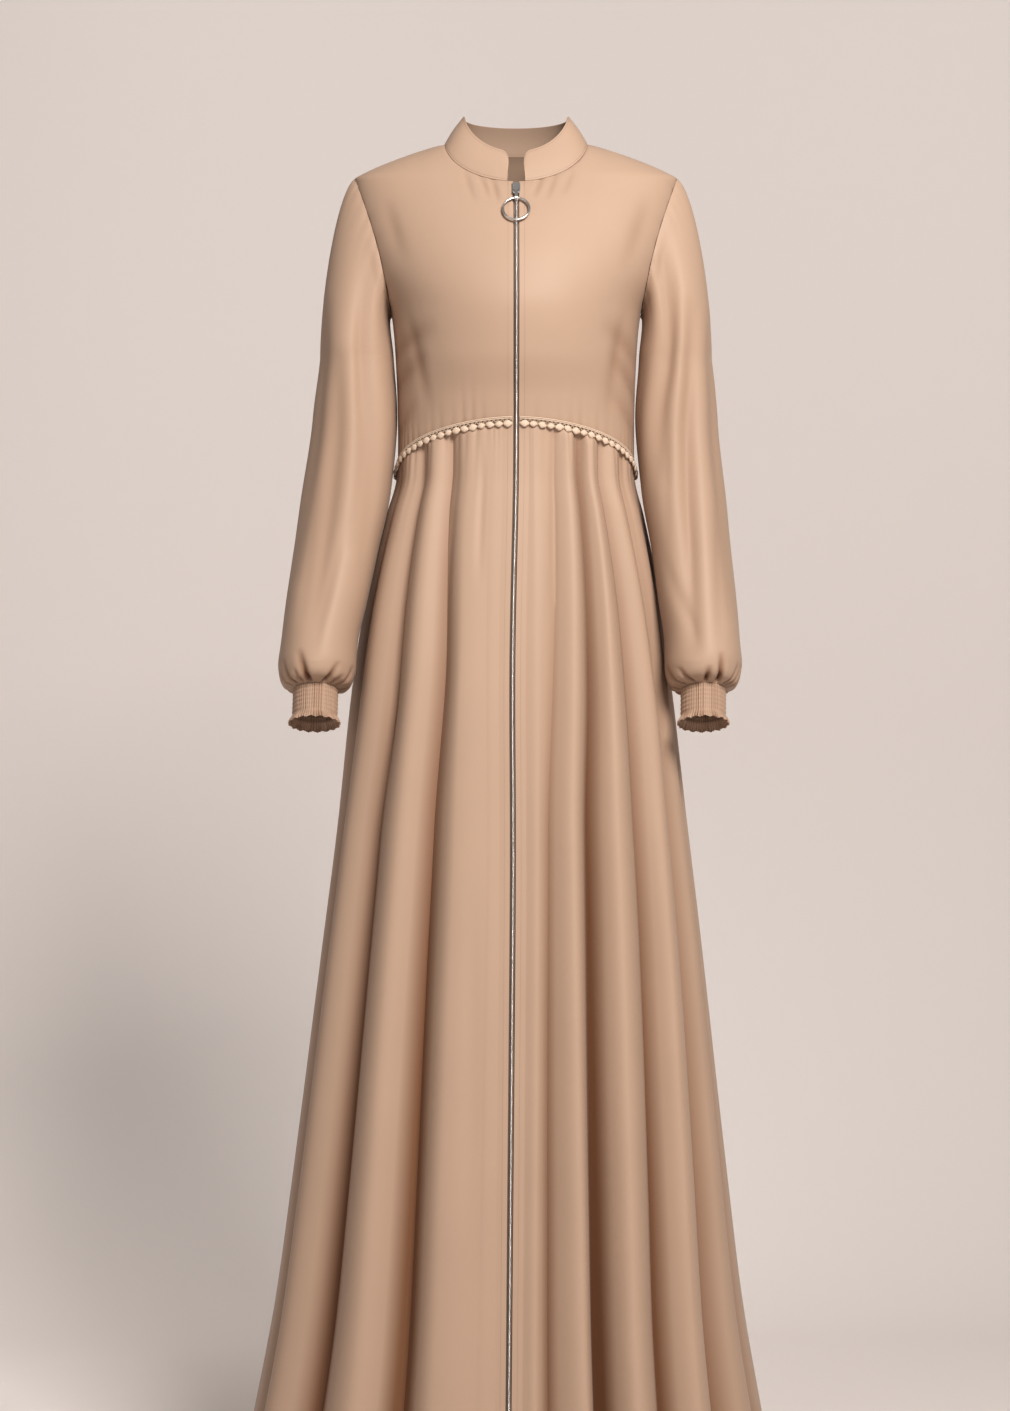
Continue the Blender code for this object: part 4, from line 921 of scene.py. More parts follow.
def sleeve_form(side, turns):
    """Plain sleeve: rings blended from the armhole to the first section as cubic curves that
    leave the armhole outwards, then sections along the arm. Also the armhole's directions."""
    half = SLEEVE_TURNS // 2
    front = armhole_point(np.linspace(0, 1, half + 1))
    back = armhole_point(np.linspace(1, 0, half + 1), back=True)
    edge = np.concatenate([front, back[1:-1]])
    start = edge + ARMHOLE_AXIS * SEAM_GAP
    first = sleeve_ring(SLEEVE_ROWS[0], turns)
    reach = np.linalg.norm(first - start, axis=1)[:, None]
    t = (np.linspace(0, 1, SLEEVE_HEAD + 1)[:-1] ** HEAD_SPACING)[:, None, None]
    head = hermite(t, start, first, reach * SLEEVE_START_PULL * np.array(SLEEVE_START),
                   reach * SLEEVE_END_PULL * np.array([0.0, 0.0, -1.0]))
    table = np.array(SLEEVE_ROWS)
    order = np.arange(len(table), dtype=float)
    places = np.linspace(0, 1, SLEEVE_BODY) ** BODY_SPACING * order[-1]
    rows = np.stack([through(order, table[:, k], places) for k in range(table.shape[1])], 1)
    grid = np.concatenate([head, np.array([sleeve_ring(row, turns) for row in rows])])
    grid[-1, :, 2] += SEAM_GAP
    if side < 0:
        fuller = RIGHT_SLEEVE_FULLER * np.exp(-(((grid[..., 2] - FULLER_Z) / FULLER_SPREAD) ** 2))
        grid[..., 0] -= fuller * (1 - np.cos(turns)) / 2
    return grid, armhole_normal(edge)


def build_sleeve(part, cloth, material):
    """Sleeve: its plain form pushed in by long folds, creases, pinches, gathers and puckers."""
    side, seed, _, folds, creases, pinches = SLEEVE_PARTS[part]
    turns = np.arange(SLEEVE_TURNS) * (2 * np.pi / SLEEVE_TURNS)
    grid, start_normal = sleeve_form(side, turns)
    normals = grid_normals(grid, wrap=True, flip=True)
    z = grid[..., 2]
    wide = np.broadcast_to(turns, z.shape)
    from_top = np.linalg.norm(grid - grid[:1], axis=2)
    steps = np.linalg.norm(np.diff(grid, axis=0), axis=2)
    up = np.concatenate([np.cumsum(steps[::-1], axis=0)[::-1], np.zeros((1, SLEEVE_TURNS))])
    small = np.array(creases) * np.array([CREASE_SCALE, 1.0, CREASE_SCALE, 1.0, 1.0, CREASE_SCALE])
    folded = sleeve_dent(folds, z, wide)
    folded = folded + grooves(np.degrees(wide) * CREASE_SCALE, z, small, period=360.0 * CREASE_SCALE)
    folded = folded * soft_step(0.0, CREASE_START, from_top)
    pinched = pinches_above_cuff(pinches, up, wide, cloth.puff_gather)
    fine = -gathers(turns * SEAM_RADIUS, 2 * np.pi * SEAM_RADIUS / SEAM_GATHERS, seed)
    fine = fine * np.exp(-up / SEAM_GATHER_REACH) * soft_step(0.0, SEAM_FLAT, up)
    dent = folded + pinched + fine * cloth.puff_gather * SEAM_GATHER_SHARE
    pucker = puckers("sleeve", turns * HEAD_RADIUS, from_top, seed + 5)
    dent = dent + pucker * soft_step(0.0, SEAM_FLAT, from_top) + dip("sleeve_head", from_top)
    grid = grid - normals * dent[..., None]
    normals = grid_normals(grid, wrap=True, flip=True)
    normals[0] = start_normal
    normals[-1] = cuff_normal(turns)
    # Painted shade: colour darkened in the long folds, creases and pinches.
    tone = folded * SLEEVE_PAINTED_FOLD_SHADE + pinched * PINCH_PAINTED_SHADE
    dress_arm(f"sleeve_{part}", grid, grid - normals * cloth.wall, tone, side, material)


def dress_arm(node, outer, inner, tone, side, material):
    """Shell of a sleeve or cuff, put on its side and dressed."""
    # The painted fold shade is turned with the columns.
    tone = tone[:, ::-1] if side > 0 else tone
    piece = cloth_shell(f"{node}_cloth", arm_side(outer, side), arm_side(inner, side), tone, wrap=True)
    dress(piece, material, node)


def arm_side(grid, side):
    """Tube made for the wearer's left put on that side or mirrored, both leaning to the right."""
    grid = grid[:, ::-1] if side > 0 else grid * MIRROR
    lean = SLEEVE_LEAN_PER_METRE * np.maximum(0.0, SLEEVE_LEAN_START_Z - grid[..., 2])
    return grid + lean[..., None] * np.array([1.0, 0.0, 0.0])


# Cuff: size of its grid, gathers round it, and how far each form stands out, in metres
CUFF_TURNS = 350
CUFF_RINGS = 34
CUFF_GATHERS = 62
PUFF_OUT = 0.0005
PUFF_LEVEL = 0.55
GATHER_OUT = 0.0016
FLARE_OUT = 0.0030
RUFFLE_OUT = 0.0034
RUFFLE_START_OUT = 0.0010
RUFFLE_WAVE = 0.0008
RUFFLE_WAVES = 17.0


def build_cuff(part, cloth, material):
    """Cuff: rings down the wrist. Shirring pulls them in at even rows, fine gathers run down it,
    and below the last row the ruffle opens and waves."""
    side, _, seed = SLEEVE_PARTS[part][:3]
    turns = np.arange(CUFF_TURNS) * (2 * np.pi / CUFF_TURNS)
    tilt = math.radians(SLEEVE_ROWS[-1][SLEEVE_COLUMNS.index("tilt")])
    axis = np.array([0.0, -math.sin(tilt), -math.cos(tilt)])
    normal = cuff_normal(turns)
    down = np.linspace(0, CUFF_LENGTH, CUFF_RINGS)
    rows = np.abs(np.sin(np.pi * down / (CUFF_BAND / CUFF_ROWS_OF_SHIRRING)))
    band = 1 - soft_step(CUFF_BAND - 0.001, CUFF_BAND + 0.002, down)
    flare = soft_step(CUFF_BAND, CUFF_LENGTH, down)
    fine = gathers(turns, 2 * np.pi / CUFF_GATHERS, seed) + 0.5
    shift = gathers(turns + 0.02, 2 * np.pi / (CUFF_GATHERS - 7), seed + 1) + 0.5
    wave = fine[None, :] * (0.55 + 0.45 * rows)[:, None]
    ruffle = 0.6 * fine + 0.4 * shift
    out = ((rows ** 0.7 - PUFF_LEVEL) * band * PUFF_OUT + flare * FLARE_OUT)[:, None]
    out = out + wave * GATHER_OUT * band[:, None]
    out = out + ruffle[None, :] * (flare * RUFFLE_OUT + (1 - band) * RUFFLE_START_OUT)[:, None]
    ring = sleeve_ring(SLEEVE_ROWS[-1], turns)
    grid = ring[None] + axis * down[:, None, None] + normal[None] * out[..., None]
    grid[-1] = grid[-1] + axis * (RUFFLE_WAVE * np.sin(turns * RUFFLE_WAVES + seed))[:, None]
    inner = grid - normal[None] * cloth.wall
    # Painted shade: colour darkened in the troughs of the cuff's gathers.
    dress_arm(f"cuff_{part}", grid, inner, (0.5 - wave) * CUFF_PAINTED_SHADE, side, material)


COLLAR_FINE = 110
COLLAR_ROWS = 18
COLLAR_BULGE = 0.0012
# Power that crowds the collar's columns towards its front corners
COLLAR_SPACING = 1.5


def collar_grid():
    """Collar: a band that rises from the neckline and leans to the neck, cut by quarter circles
    at its front corners. Gives its points and outward directions."""
    start = math.asin(COLLAR_FRONT_X / NECK_HALF_WIDTH)
    quarter = math.pi / 2
    front = neck_point(start + (quarter - start) * np.linspace(0, 1, COLLAR_FINE) ** COLLAR_SPACING)
    back = neck_point(np.linspace(quarter, 0.0, COLLAR_FINE), back=True)
    side = np.concatenate([front, back[1:]])
    base = np.concatenate([side, (side * MIRROR)[::-1][1:]])
    length = lengths_along(base)
    from_end = np.minimum(length, length[-1] - length)
    frontness = np.clip(-base[:, 1] / abs(base[0, 1]), 0.0, 1.0)
    height = COLLAR_HEIGHT_BACK + (COLLAR_HEIGHT_FRONT - COLLAR_HEIGHT_BACK) * frontness
    short = np.clip(COLLAR_CORNER - from_end, 0.0, COLLAR_CORNER)
    height = height - COLLAR_CORNER + np.sqrt(COLLAR_CORNER**2 - short**2)
    lean = base * np.array([COLLAR_TOP_WIDTH - 1, COLLAR_TOP_DEPTH - 1, 0.0])
    rise = lean + np.array([0.0, 0.0, COLLAR_HEIGHT_FRONT])
    normal = neck_normal(base)
    step = unit(np.cross(normal, np.gradient(base, axis=0)))
    step = step * np.sign(step[:, 2:3])
    up = np.linspace(1, 0, COLLAR_ROWS)[:, None, None]
    share = (height / COLLAR_HEIGHT_FRONT)[None, :, None] * up
    outer = base[None] + step[None] * SEAM_GAP + rise[None] * share
    outer = outer + grid_normals(outer) * np.sin(np.pi * up) * COLLAR_BULGE
    normals = grid_normals(outer)
    normals[-1] = normal
    return outer, normals


def build_collar(cloth, material):
    """The stand collar, a double layer of cloth."""
    outer, normals = collar_grid()
    dress(cloth_shell("collar_cloth", outer, outer - normals * cloth.collar_wall), material, "collar")


def square_to(out, along):
    """Outward directions made square to the directions along."""
    return unit(out - np.sum(out * along, axis=1, keepdims=True) * along)


def tube(name, path, out, radius, sides, closed=False):
    """Cord along a path: rings of points path + radius (cos a out + sin a across), where across
    is square to both the path and the outward direction."""
    if closed:
        along = unit(np.roll(path, -1, axis=0) - np.roll(path, 1, axis=0))
    else:
        along = unit(np.gradient(path, axis=0))
    out = square_to(out, along)
    across = np.cross(along, out)
    turns = np.arange(sides) * (2 * np.pi / sides)
    ring = np.cos(turns)[None, :, None] * out[:, None] + np.sin(turns)[None, :, None] * across[:, None]
    points = path[:, None] + ring * radius
    if closed:
        index = round_table(len(path), sides)
        faces = [cells(np.concatenate([index, index[:1]]))]
    else:
        faces = capped_faces(len(path), sides)
    return make_object(name, points.reshape(-1, 3), faces)


def scatter(name, template, faces, places, axes):
    """Copies of one small template: place + the point's three numbers along three axes."""
    points = places[:, None, :] + np.einsum("vk,nkc->nvc", template, axes)
    shift = (np.arange(len(places)) * len(template))[:, None, None]
    groups = [(group[None] + shift).reshape(-1, group.shape[1]) for group in faces]
    return make_object(name, points.reshape(-1, 3), groups)


def ring_template(sections, sides):
    """Template made of rings across its first axis. Columns: along, half width, half height."""
    turns = (np.arange(sides) + 0.5) * (2 * np.pi / sides)
    points = np.concatenate([np.stack([np.full(sides, along), wide * np.cos(turns), high * np.sin(turns)], -1)
                             for along, wide, high in sections])
    return points, capped_faces(len(sections), sides)


def placed_along(path, out, pitch, start=0.0, out_at=None):
    """Places at an even pitch along a path, with axes along it, across it and out. The outward
    directions belong to the lengths out_at, by default the length up to each point."""
    length = lengths_along(path)
    at = np.arange(start, length[-1], pitch)
    ahead = read_path(at + pitch / 4, length, path)
    along = unit(ahead - read_path(at - pitch / 4, length, path))
    outward = square_to(read_path(at, length if out_at is None else out_at, out), along)
    return read_path(at, length, path), np.stack([along, np.cross(outward, along), outward], 1)


# Step out of the body that shows which way is outwards
OUT_STEP = 0.001


def line_on_body(angles, z, out):
    """Path on the body moved out of it by out, with its outward directions."""
    path = body_point(angles, z, out)
    return path, unit(body_point(angles, z, out + OUT_STEP) - path)


def seam_line(angles, rise, out):
    """Path beside the waist seam, raised by rise and moved out of the body."""
    return line_on_body(angles, waist_z(angles) + rise, out)


# Bead trim, in metres: heights beside the waist seam, radii, and how far each part stands out
TRIM_START_X = 0.0044
TRIM_STEPS = 420
CORD_HEIGHTS = (0.0046, 0.0030)
CORD_RADIUS = 0.00068
CORD_LIFT = 0.0006
CORD_SIDES = 6
LOOP_MIDDLE = 0.0008
LOOP_SWING = 0.0014
LOOP_RADIUS = 0.00042
LOOP_STEP = 0.0006
LOOP_OUT = 0.0011
LOOP_OUT_SWING = 0.0004
THREAD_RADIUS = 0.0006
THREAD_OUT = 0.0008
THIN_SIDES = 5
BEAD_DROP = -0.0030
BEAD_PITCH = 0.0100
BEAD_HALF_WIDTH = 0.0052
BEAD_HALF_HEIGHT = 0.0039
BEAD_HALF_DEPTH = 0.0019
BEAD_ROUNDNESS = 0.64
BEAD_AROUND = 16
BEAD_RINGS = 11
BEAD_POLE = 0.10
BEAD_RIDGES = 8
BEAD_RIDGE = 0.10
BEAD_TWIST = 3.0
# How unlike the beads are: tilt in radians, size as a share, height in metres
BEAD_TILT = 0.30
BEAD_SIZE = 0.12
BEAD_WANDER = 0.0003
BEAD_PROUD = 1.15


def bead_template():
    """Crochet bead: a ball whose section is drawn towards a rhomb, with slanting ridges of yarn.
    Radius = (|cos|^p + |sin|^p)^(-1/p) with small waves round and along it."""
    turn = np.arange(BEAD_AROUND) * (2 * np.pi / BEAD_AROUND)
    rise = np.linspace(BEAD_POLE, np.pi - BEAD_POLE, BEAD_RINGS)[:, None]
    power = 2.0 * BEAD_ROUNDNESS
    radius = (np.abs(np.cos(turn))**power + np.abs(np.sin(turn))**power) ** (-1 / power)
    ring = np.sin(rise) * radius * (1 + BEAD_RIDGE * np.cos(BEAD_RIDGES * turn + BEAD_TWIST * rise))
    height = np.broadcast_to(np.cos(rise), ring.shape)
    points = np.stack([ring * np.cos(turn), ring * np.sin(turn), height], -1)
    points = points * np.array([BEAD_HALF_WIDTH, BEAD_HALF_HEIGHT, BEAD_HALF_DEPTH])
    return points.reshape(-1, 3), capped_faces(BEAD_RINGS, BEAD_AROUND)


def build_trim(node, start, end, material):
    """Trim over one stretch of the seam: two cords, a looped cord and a row of crochet beads."""
    angles = np.linspace(start, end, TRIM_STEPS)
    pieces = []
    for count, rise in enumerate(CORD_HEIGHTS):
        path, out = seam_line(angles, rise, CORD_RADIUS + CORD_LIFT)
        pieces.append(tube(f"{node}_cord_{count}", path, out, CORD_RADIUS, CORD_SIDES))
    length = lengths_along(seam_line(angles, 0.0, OUT_STEP)[0])
    many = np.linspace(0, length[-1], int(length[-1] / LOOP_STEP))
    phase = 2 * np.pi * many / (BEAD_PITCH / 2)
    path, out = seam_line(np.interp(many, length, angles), LOOP_MIDDLE + LOOP_SWING * np.sin(phase),
                          LOOP_OUT + LOOP_OUT_SWING * np.sin(phase * 2))
    pieces.append(tube(f"{node}_loops", path, out, LOOP_RADIUS, THIN_SIDES))
    path, out = seam_line(angles, BEAD_DROP, THREAD_OUT)
    pieces.append(tube(f"{node}_thread", path, out, THREAD_RADIUS, THIN_SIDES))
    middle, out = seam_line(angles, BEAD_DROP, 0.0)
    evenly = np.linspace(0, lengths_along(middle)[-1], len(out))
    places, axes = placed_along(middle, out, BEAD_PITCH, BEAD_PITCH / 2, evenly)
    along, down, outward = (axes[:, k] for k in range(3))
    order = np.arange(len(places))
    tilt = BEAD_TILT * uneven(order * 2.1, start)[:, None]
    size = (1 + BEAD_SIZE * uneven(order * 3.3, start + 1.0))[:, None]
    axis_a = (along * np.cos(tilt) + down * np.sin(tilt)) * size
    axis_b = (down * np.cos(tilt) - along * np.sin(tilt)) * size
    drop = down * (BEAD_WANDER * uneven(order * 4.7, 2.0))[:, None]
    places = places + outward * BEAD_HALF_DEPTH * BEAD_PROUD + drop
    pieces.append(scatter(f"{node}_beads", *bead_template(), places, np.stack([axis_a, axis_b, outward], 1)))
    for piece in pieces:
        rider(piece, material, BODY, [node])


ZIP_STEPS = 900
ZIP_TOP_Z = -NECK_DROP_FRONT - 0.001
ZIP_LOW_Z = HEM_Z + 0.0006
TAPE_DEPTH = 0.0023
TAPE_HALF = 0.0140
TAPE_THICKNESS = 0.0005
TAPE_COLUMNS = 19
TAPE_ROW_STEP = 3
TAPE_RIBS = 9
TAPE_RIB = 0.00012
TOOTH_PITCH = 0.0024
TOOTH_LEVEL = -0.0005
TOOTH_START = 0.016
TOOTH_SIDES = 6
# Zip tooth from the tape to the head: along, half width along the zip, half height
TOOTH_SECTIONS = (
    (0.00205, 0.00050, 0.00075),
    (0.00100, 0.00046, 0.00080),
    (0.00020, 0.00066, 0.00090),
    (-0.00075, 0.00050, 0.00070),
)
RIGHTWARDS = np.array([1.0, 0.0, 0.0])


def zip_line(x, out, top=ZIP_TOP_Z):
    """Path down the front at a distance x from the centre line, moved out of the body."""
    z = np.linspace(top, ZIP_LOW_Z, ZIP_STEPS)
    return line_on_body(front_angle(x, z), z, out)


def build_zip(tape_material, metal):
    """Tape behind the front edges and a closed chain of teeth that come from both sides in turn."""
    path, out = (part[::TAPE_ROW_STEP, None] for part in zip_line(0.0, -TAPE_DEPTH))
    across = np.linspace(-1, 1, TAPE_COLUMNS)[None, :, None]
    outer = path + RIGHTWARDS * (across * TAPE_HALF) + out * (TAPE_RIB * np.cos(across * np.pi * TAPE_RIBS))
    piece = cloth_shell("zip_tape_cloth", outer, outer - out * TAPE_THICKNESS)
    rider(piece, tape_material, BODY, ["zip_tape"])
    path, out = zip_line(0.0, TOOTH_LEVEL)
    template, faces = ring_template(TOOTH_SECTIONS, TOOTH_SIDES)
    for side, name in ((1.0, "zip_teeth_left"), (-1.0, "zip_teeth_right")):
        start = TOOTH_START + (TOOTH_PITCH / 2 if side < 0 else 0.0)
        places, axes = placed_along(path, out, TOOTH_PITCH, start)
        turned = np.stack([axes[:, 1] * side, axes[:, 0] * -side, axes[:, 2]], 1)
        rider(scatter(name, template, faces, places, turned), metal, BODY, ["zip_tape"])


STITCH_PITCH = 0.0031
STITCH_SIDES = 4
# Stitch: along, half width, half height
STITCH_SECTIONS = (
    (-0.00130, 0.00016, 0.00010),
    (0.0, 0.00036, 0.00022),
    (0.00130, 0.00016, 0.00010),
)
STITCH_LINES_X = (-0.0093, 0.0093)
STITCH_TOP_Z = -NECK_DROP_FRONT - 0.002
STITCH_OUT = 0.00002
# Share of the collar's height, from its top, at which each row of stitches lies
COLLAR_STITCHES = {"top": 0.10, "base": 0.90}
COLLAR_STITCH_OUT = 0.00004
# Hem stitches: quarter of the skirt, whether mirrored
HEM_STITCHES = {
    "left": ("front_left", False),
    "right": ("front_right", True),
    "back_left": ("back", False),
    "back_right": ("back", True),
}


def hem_line(part, mirrored, cloth):
    """Path on a quarter of the skirt at the height of the turned hem: between the two rows of
    points beside it, each column is read where it meets that height."""
    grid, normals, _ = skirt_quarter(part, cloth)
    level = HEM_Z + HEM_TURN
    low = int(np.argmin(np.abs(grid[:, 0, 2] - level)))
    high = low - 1 if grid[low, 0, 2] < level else low
    share = ((grid[high, :, 2] - level) / (grid[high, :, 2] - grid[high + 1, :, 2]))[:, None]
    path = grid[high] * (1 - share) + grid[high + 1] * share
    return (mirrored_skirt(path), normals[high] * MIRROR) if mirrored else (path, normals[high])


def build_stitching(cloth, thread):
    """Stitches along the zip's plackets, the collar's edges and the turned hem."""
    lines = {f"zip_{count}": zip_line(x, STITCH_OUT, STITCH_TOP_Z) for count, x in enumerate(STITCH_LINES_X)}
    outer, normals = collar_grid()
    for name, share in COLLAR_STITCHES.items():
        row = int(len(outer) * share)
        lines[f"collar_{name}"] = (outer[row] + normals[row] * COLLAR_STITCH_OUT, normals[row])
    for name, (part, mirrored) in HEM_STITCHES.items():
        lines[f"hem_{name}"] = hem_line(part, mirrored, cloth)
    template, faces = ring_template(STITCH_SECTIONS, STITCH_SIDES)
    for name, (path, out) in lines.items():
        places, axes = placed_along(path, out, STITCH_PITCH)
        rider(scatter(f"stitch_{name}", template, faces, places, axes), thread, BODY)


RING_CENTRE = np.array([0.0, -0.08936401, -0.08690357])
RING_DOWN = np.array([0.0, -0.47098593, -0.88214072])
RING_RADIUS = 0.0150
RING_WIRE = 0.0013
RING_STEPS = 96
RING_SIDES = 18


def build_pull(metal):
    """Ring of round wire; slider and link keep their solids and get the metal."""
    turns = (np.arange(RING_STEPS) * (2 * np.pi / RING_STEPS))[:, None]
    spoke = np.cos(turns) * RIGHTWARDS + np.sin(turns) * RING_DOWN
    path = RING_CENTRE + spoke * RING_RADIUS
    ring = tube("pull_ring_wire", path, spoke, RING_WIRE, RING_SIDES, closed=True)
    rider(ring, metal, "pull_ring", ["pull_ring"])
    for name in ("zip_slider", "pull_link"):
        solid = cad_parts[name]
        solid.data.materials.clear()
        solid.data.materials.append(metal)


class Value:
    """Output of a shader node; arithmetic with it adds Math nodes."""

    def __init__(self, shader, socket):
        self.shader = shader
        self.socket = socket

    def __add__(self, other):
        return self.shader.math("ADD", self, other)

    def __radd__(self, other):
        return self.shader.math("ADD", other, self)

    def __mul__(self, other):
        return self.shader.math("MULTIPLY", self, other)

    def __rmul__(self, other):
        return self.shader.math("MULTIPLY", other, self)

class Shader:
    """Material with one method for any node, so that its graph reads as plain formulas."""

    def __init__(self, name, constants):
        self.material = bpy.data.materials.new(name)
        self.material.use_nodes = True
        self.tree = self.material.node_tree
        self.surface = self.tree.nodes["Principled BSDF"]
        for socket, value in constants.items():
            self.surface.inputs[socket].default_value = value

    def node(self, kind, settings=None, inputs=None):
        """New node of a kind, its settings set and its inputs linked or filled."""
        made = self.tree.nodes.new(kind)
        for name, value in (settings or {}).items():
            setattr(made, name, value)
        for name, value in (inputs or {}).items():
            self.feed(made.inputs[name], value)
        return made

    def feed(self, socket, value):
        """Links a Value to a socket, or sets the socket to a constant."""
        if isinstance(value, Value):
            self.tree.links.new(value.socket, socket)
        else:
            socket.default_value = value

    def math(self, operation, first, second):
        made = self.node("ShaderNodeMath", {"operation": operation}, {0: first, 1: second})
        return Value(self, made.outputs[0])

    def place(self, space, stretch):
        """Place on the cloth's cut, in metres, or in the object's own space, stretched."""
        if space == "cut":
            source = self.node("ShaderNodeUVMap", {"uv_map": "cut"}).outputs["UV"]
        else:
            source = self.node("ShaderNodeTexCoord").outputs["Object"]
        made = self.node("ShaderNodeMapping", {}, {"Vector": Value(self, source), "Scale": stretch})
        return Value(self, made.outputs["Vector"])

    def noise(self, place, scale, detail, rough):
        inputs = {"Vector": place, "Scale": scale, "Detail": detail, "Roughness": rough}
        return Value(self, self.node("ShaderNodeTexNoise", {}, inputs).outputs["Fac"])

    def mix(self, share, first, second):
        """Colour between two others."""
        made = self.node("ShaderNodeMix", {"data_type": "RGBA"}, {0: share, 6: first, 7: second})
        return Value(self, made.outputs[2])

    def surface_input(self, name, value):
        """Links a Value to a socket of the surface, or sets it."""
        self.feed(self.surface.inputs[name], value)

    def bump(self, height, distance, strength):
        made = self.node("ShaderNodeBump", {}, {"Height": height, "Distance": distance, "Strength": strength})
        self.surface_input("Normal", Value(self, made.outputs["Normal"]))


def shade(colour, factor):
    """Colour with alpha, made lighter or darker by a factor."""
    return tuple(min(1.0, part * factor) for part in colour[:3]) + (1.0,)


# Painted shade: colour the cloth is darkened to in its folds, as shares of its own colour, and how much of it
# the darkest folds take
PAINTED_SHADE_TONE = (0.40, 0.22, 0.10)
PAINTED_SHADE_SHARE = 0.85


def crepe_material(name, colour):
    """Matte-satin crepe: pebbly yarn relief, a tone that is slightly uneven, painted shade that
    darkens the colour in the folds, and a soft sheen."""
    shader = Shader(name, {"Sheen Weight": 0.06, "Sheen Roughness": 0.40, "Specular IOR Level": 0.28})
    tone = shader.noise(shader.place("cut", (1.0, 1.0, 1.0)), 9.0, 3.0, 0.5)
    pebble = shader.noise(shader.place("cut", (1.0, 0.55, 1.0)), 1500.0, 2.0, 0.5)
    # Painted shade: the fold attribute mixes the colour towards the darker painted tone.
    fold = Value(shader, shader.node("ShaderNodeAttribute", {"attribute_name": "fold"}).outputs["Fac"])
    painted_shade = tuple(part * share for part, share in zip(colour, PAINTED_SHADE_TONE)) + (1.0,)
    even = shader.mix(tone, shade(colour, 0.965), shade(colour, 1.035))
    shader.surface_input("Base Color", shader.mix(fold * PAINTED_SHADE_SHARE, even, painted_shade))
    shader.surface_input("Roughness", 0.50 + 0.12 * pebble)
    shader.bump(pebble, 0.00010, 0.55)
    return shader.material


# Finishes with one fine noise: its space and stretch, its scale, detail and roughness, the
# darkest and lightest share of the colour, the relief's distance and strength, how the roughness
# starts and grows with the noise, and the surface's constants
FINISHES = {
    "trim_yarn": ("object", (1.0, 1.0, 1.0), (1300.0, 3.0, 0.6), (0.86, 1.10), (0.00025, 0.8), None,
                  {"Roughness": 0.78, "Sheen Weight": 0.30, "Sheen Roughness": 0.50}),
    "zip_tape": ("cut", (1.0, 0.3, 1.0), (1800.0, 1.0, 0.5), (0.85, 1.05), (0.00012, 0.6), None,
                 {"Roughness": 0.72, "Sheen Weight": 0.15, "Sheen Roughness": 0.45}),
    "thread": ("object", (1.0, 1.0, 1.0), (2400.0, 1.0, 0.5), (0.88, 1.04), None, None,
               {"Roughness": 0.46, "Sheen Weight": 0.20, "Sheen Roughness": 0.40}),
    "metal": ("object", (1.0, 1.0, 0.2), (700.0, 2.0, 0.5), (0.92, 1.05), None, (0.18, 0.14),
              {"Metallic": 1.0}),
}


def fine_material(name, colour):
    """Finish with one fine noise: the yarn's fuzz, the tape's weave, the thread's twist or the
    metal's rubbing marks. It makes the tone uneven and, where stated, the relief and roughness."""
    space, stretch, grain, (dark, light), relief, rough, constants = FINISHES[name]
    shader = Shader(name, constants)
    noise = shader.noise(shader.place(space, stretch), *grain)
    shader.surface_input("Base Color", shader.mix(noise, shade(colour, dark), shade(colour, light)))
    if rough:
        shader.surface_input("Roughness", rough[0] + rough[1] * noise)
    if relief:
        shader.bump(noise, *relief)
    return shader.material


def backdrop_material(name, colour):
    """Plain matt backdrop and floor."""
    shader = Shader(name, {"Roughness": 0.95, "Specular IOR Level": 0.1})
    shader.surface_input("Base Color", shade(colour, 1.0))
    return shader.material


MAKERS = {"crepe": crepe_material, "backdrop": backdrop_material}


def finish_of(context, name):
    """Material by name, made from its colour setting when first asked for."""
    found = bpy.data.materials.get(f"abaya_{name}")
    if found is None:
        found = MAKERS.get(name, fine_material)(name, getattr(context.scene.abaya_colours, name))
        found.name = f"abaya_{name}"
    return found


def number(name, description, default, low, high, **kind):
    """Number setting with its limits."""
    return FloatProperty(name=name, description=description, default=default, min=low, max=high, **kind)


def length(name, description, default, low, high):
    """Length setting in metres."""
    return number(name, description, default, low, high, subtype="DISTANCE", unit="LENGTH")


def colour(name, description, default):
    """Colour setting in scene-linear values."""
    return FloatVectorProperty(name=name, description=description, default=default, size=3, min=0.0, max=1.0,
                               subtype="COLOR")


class ClothSettings(PropertyGroup):
    """Sizes of the cloth's finer form"""
    wall: length("Cloth wall", "Thickness of the crepe shells", 0.0009, 0.0003, 0.002)
    collar_wall: length("Collar wall", "Thickness of the double collar", 0.0014, 0.0005, 0.003)
    gather_depth: length("Gather depth", "Depth of the gathers at the waist seam", 0.0015, 0.0, 0.004)
    gather_length: length("Gather length", "How far the gathers run from the seam", 0.032, 0.005, 0.12)
    puff_gather: length("Puff gather", "Depth of the gathers above the cuffs", 0.0068, 0.0, 0.010)


class ColourSettings(PropertyGroup):
    """Colours of the finishes"""
    crepe: colour("Crepe", "Colour of the cloth", (0.435, 0.307, 0.226))
    trim_yarn: colour("Trim yarn", "Colour of the crochet trim", (0.640, 0.500, 0.385))
    zip_tape: colour("Zip tape", "Colour of the zip's tape", (0.22, 0.145, 0.10))
    thread: colour("Thread", "Colour of the sewing thread", (0.33, 0.22, 0.15))
    metal: colour("Metal", "Colour of the zip, link and ring", (0.74, 0.72, 0.70))
    backdrop: colour("Backdrop", "Colour of the floor and backdrop", (0.750, 0.700, 0.674))


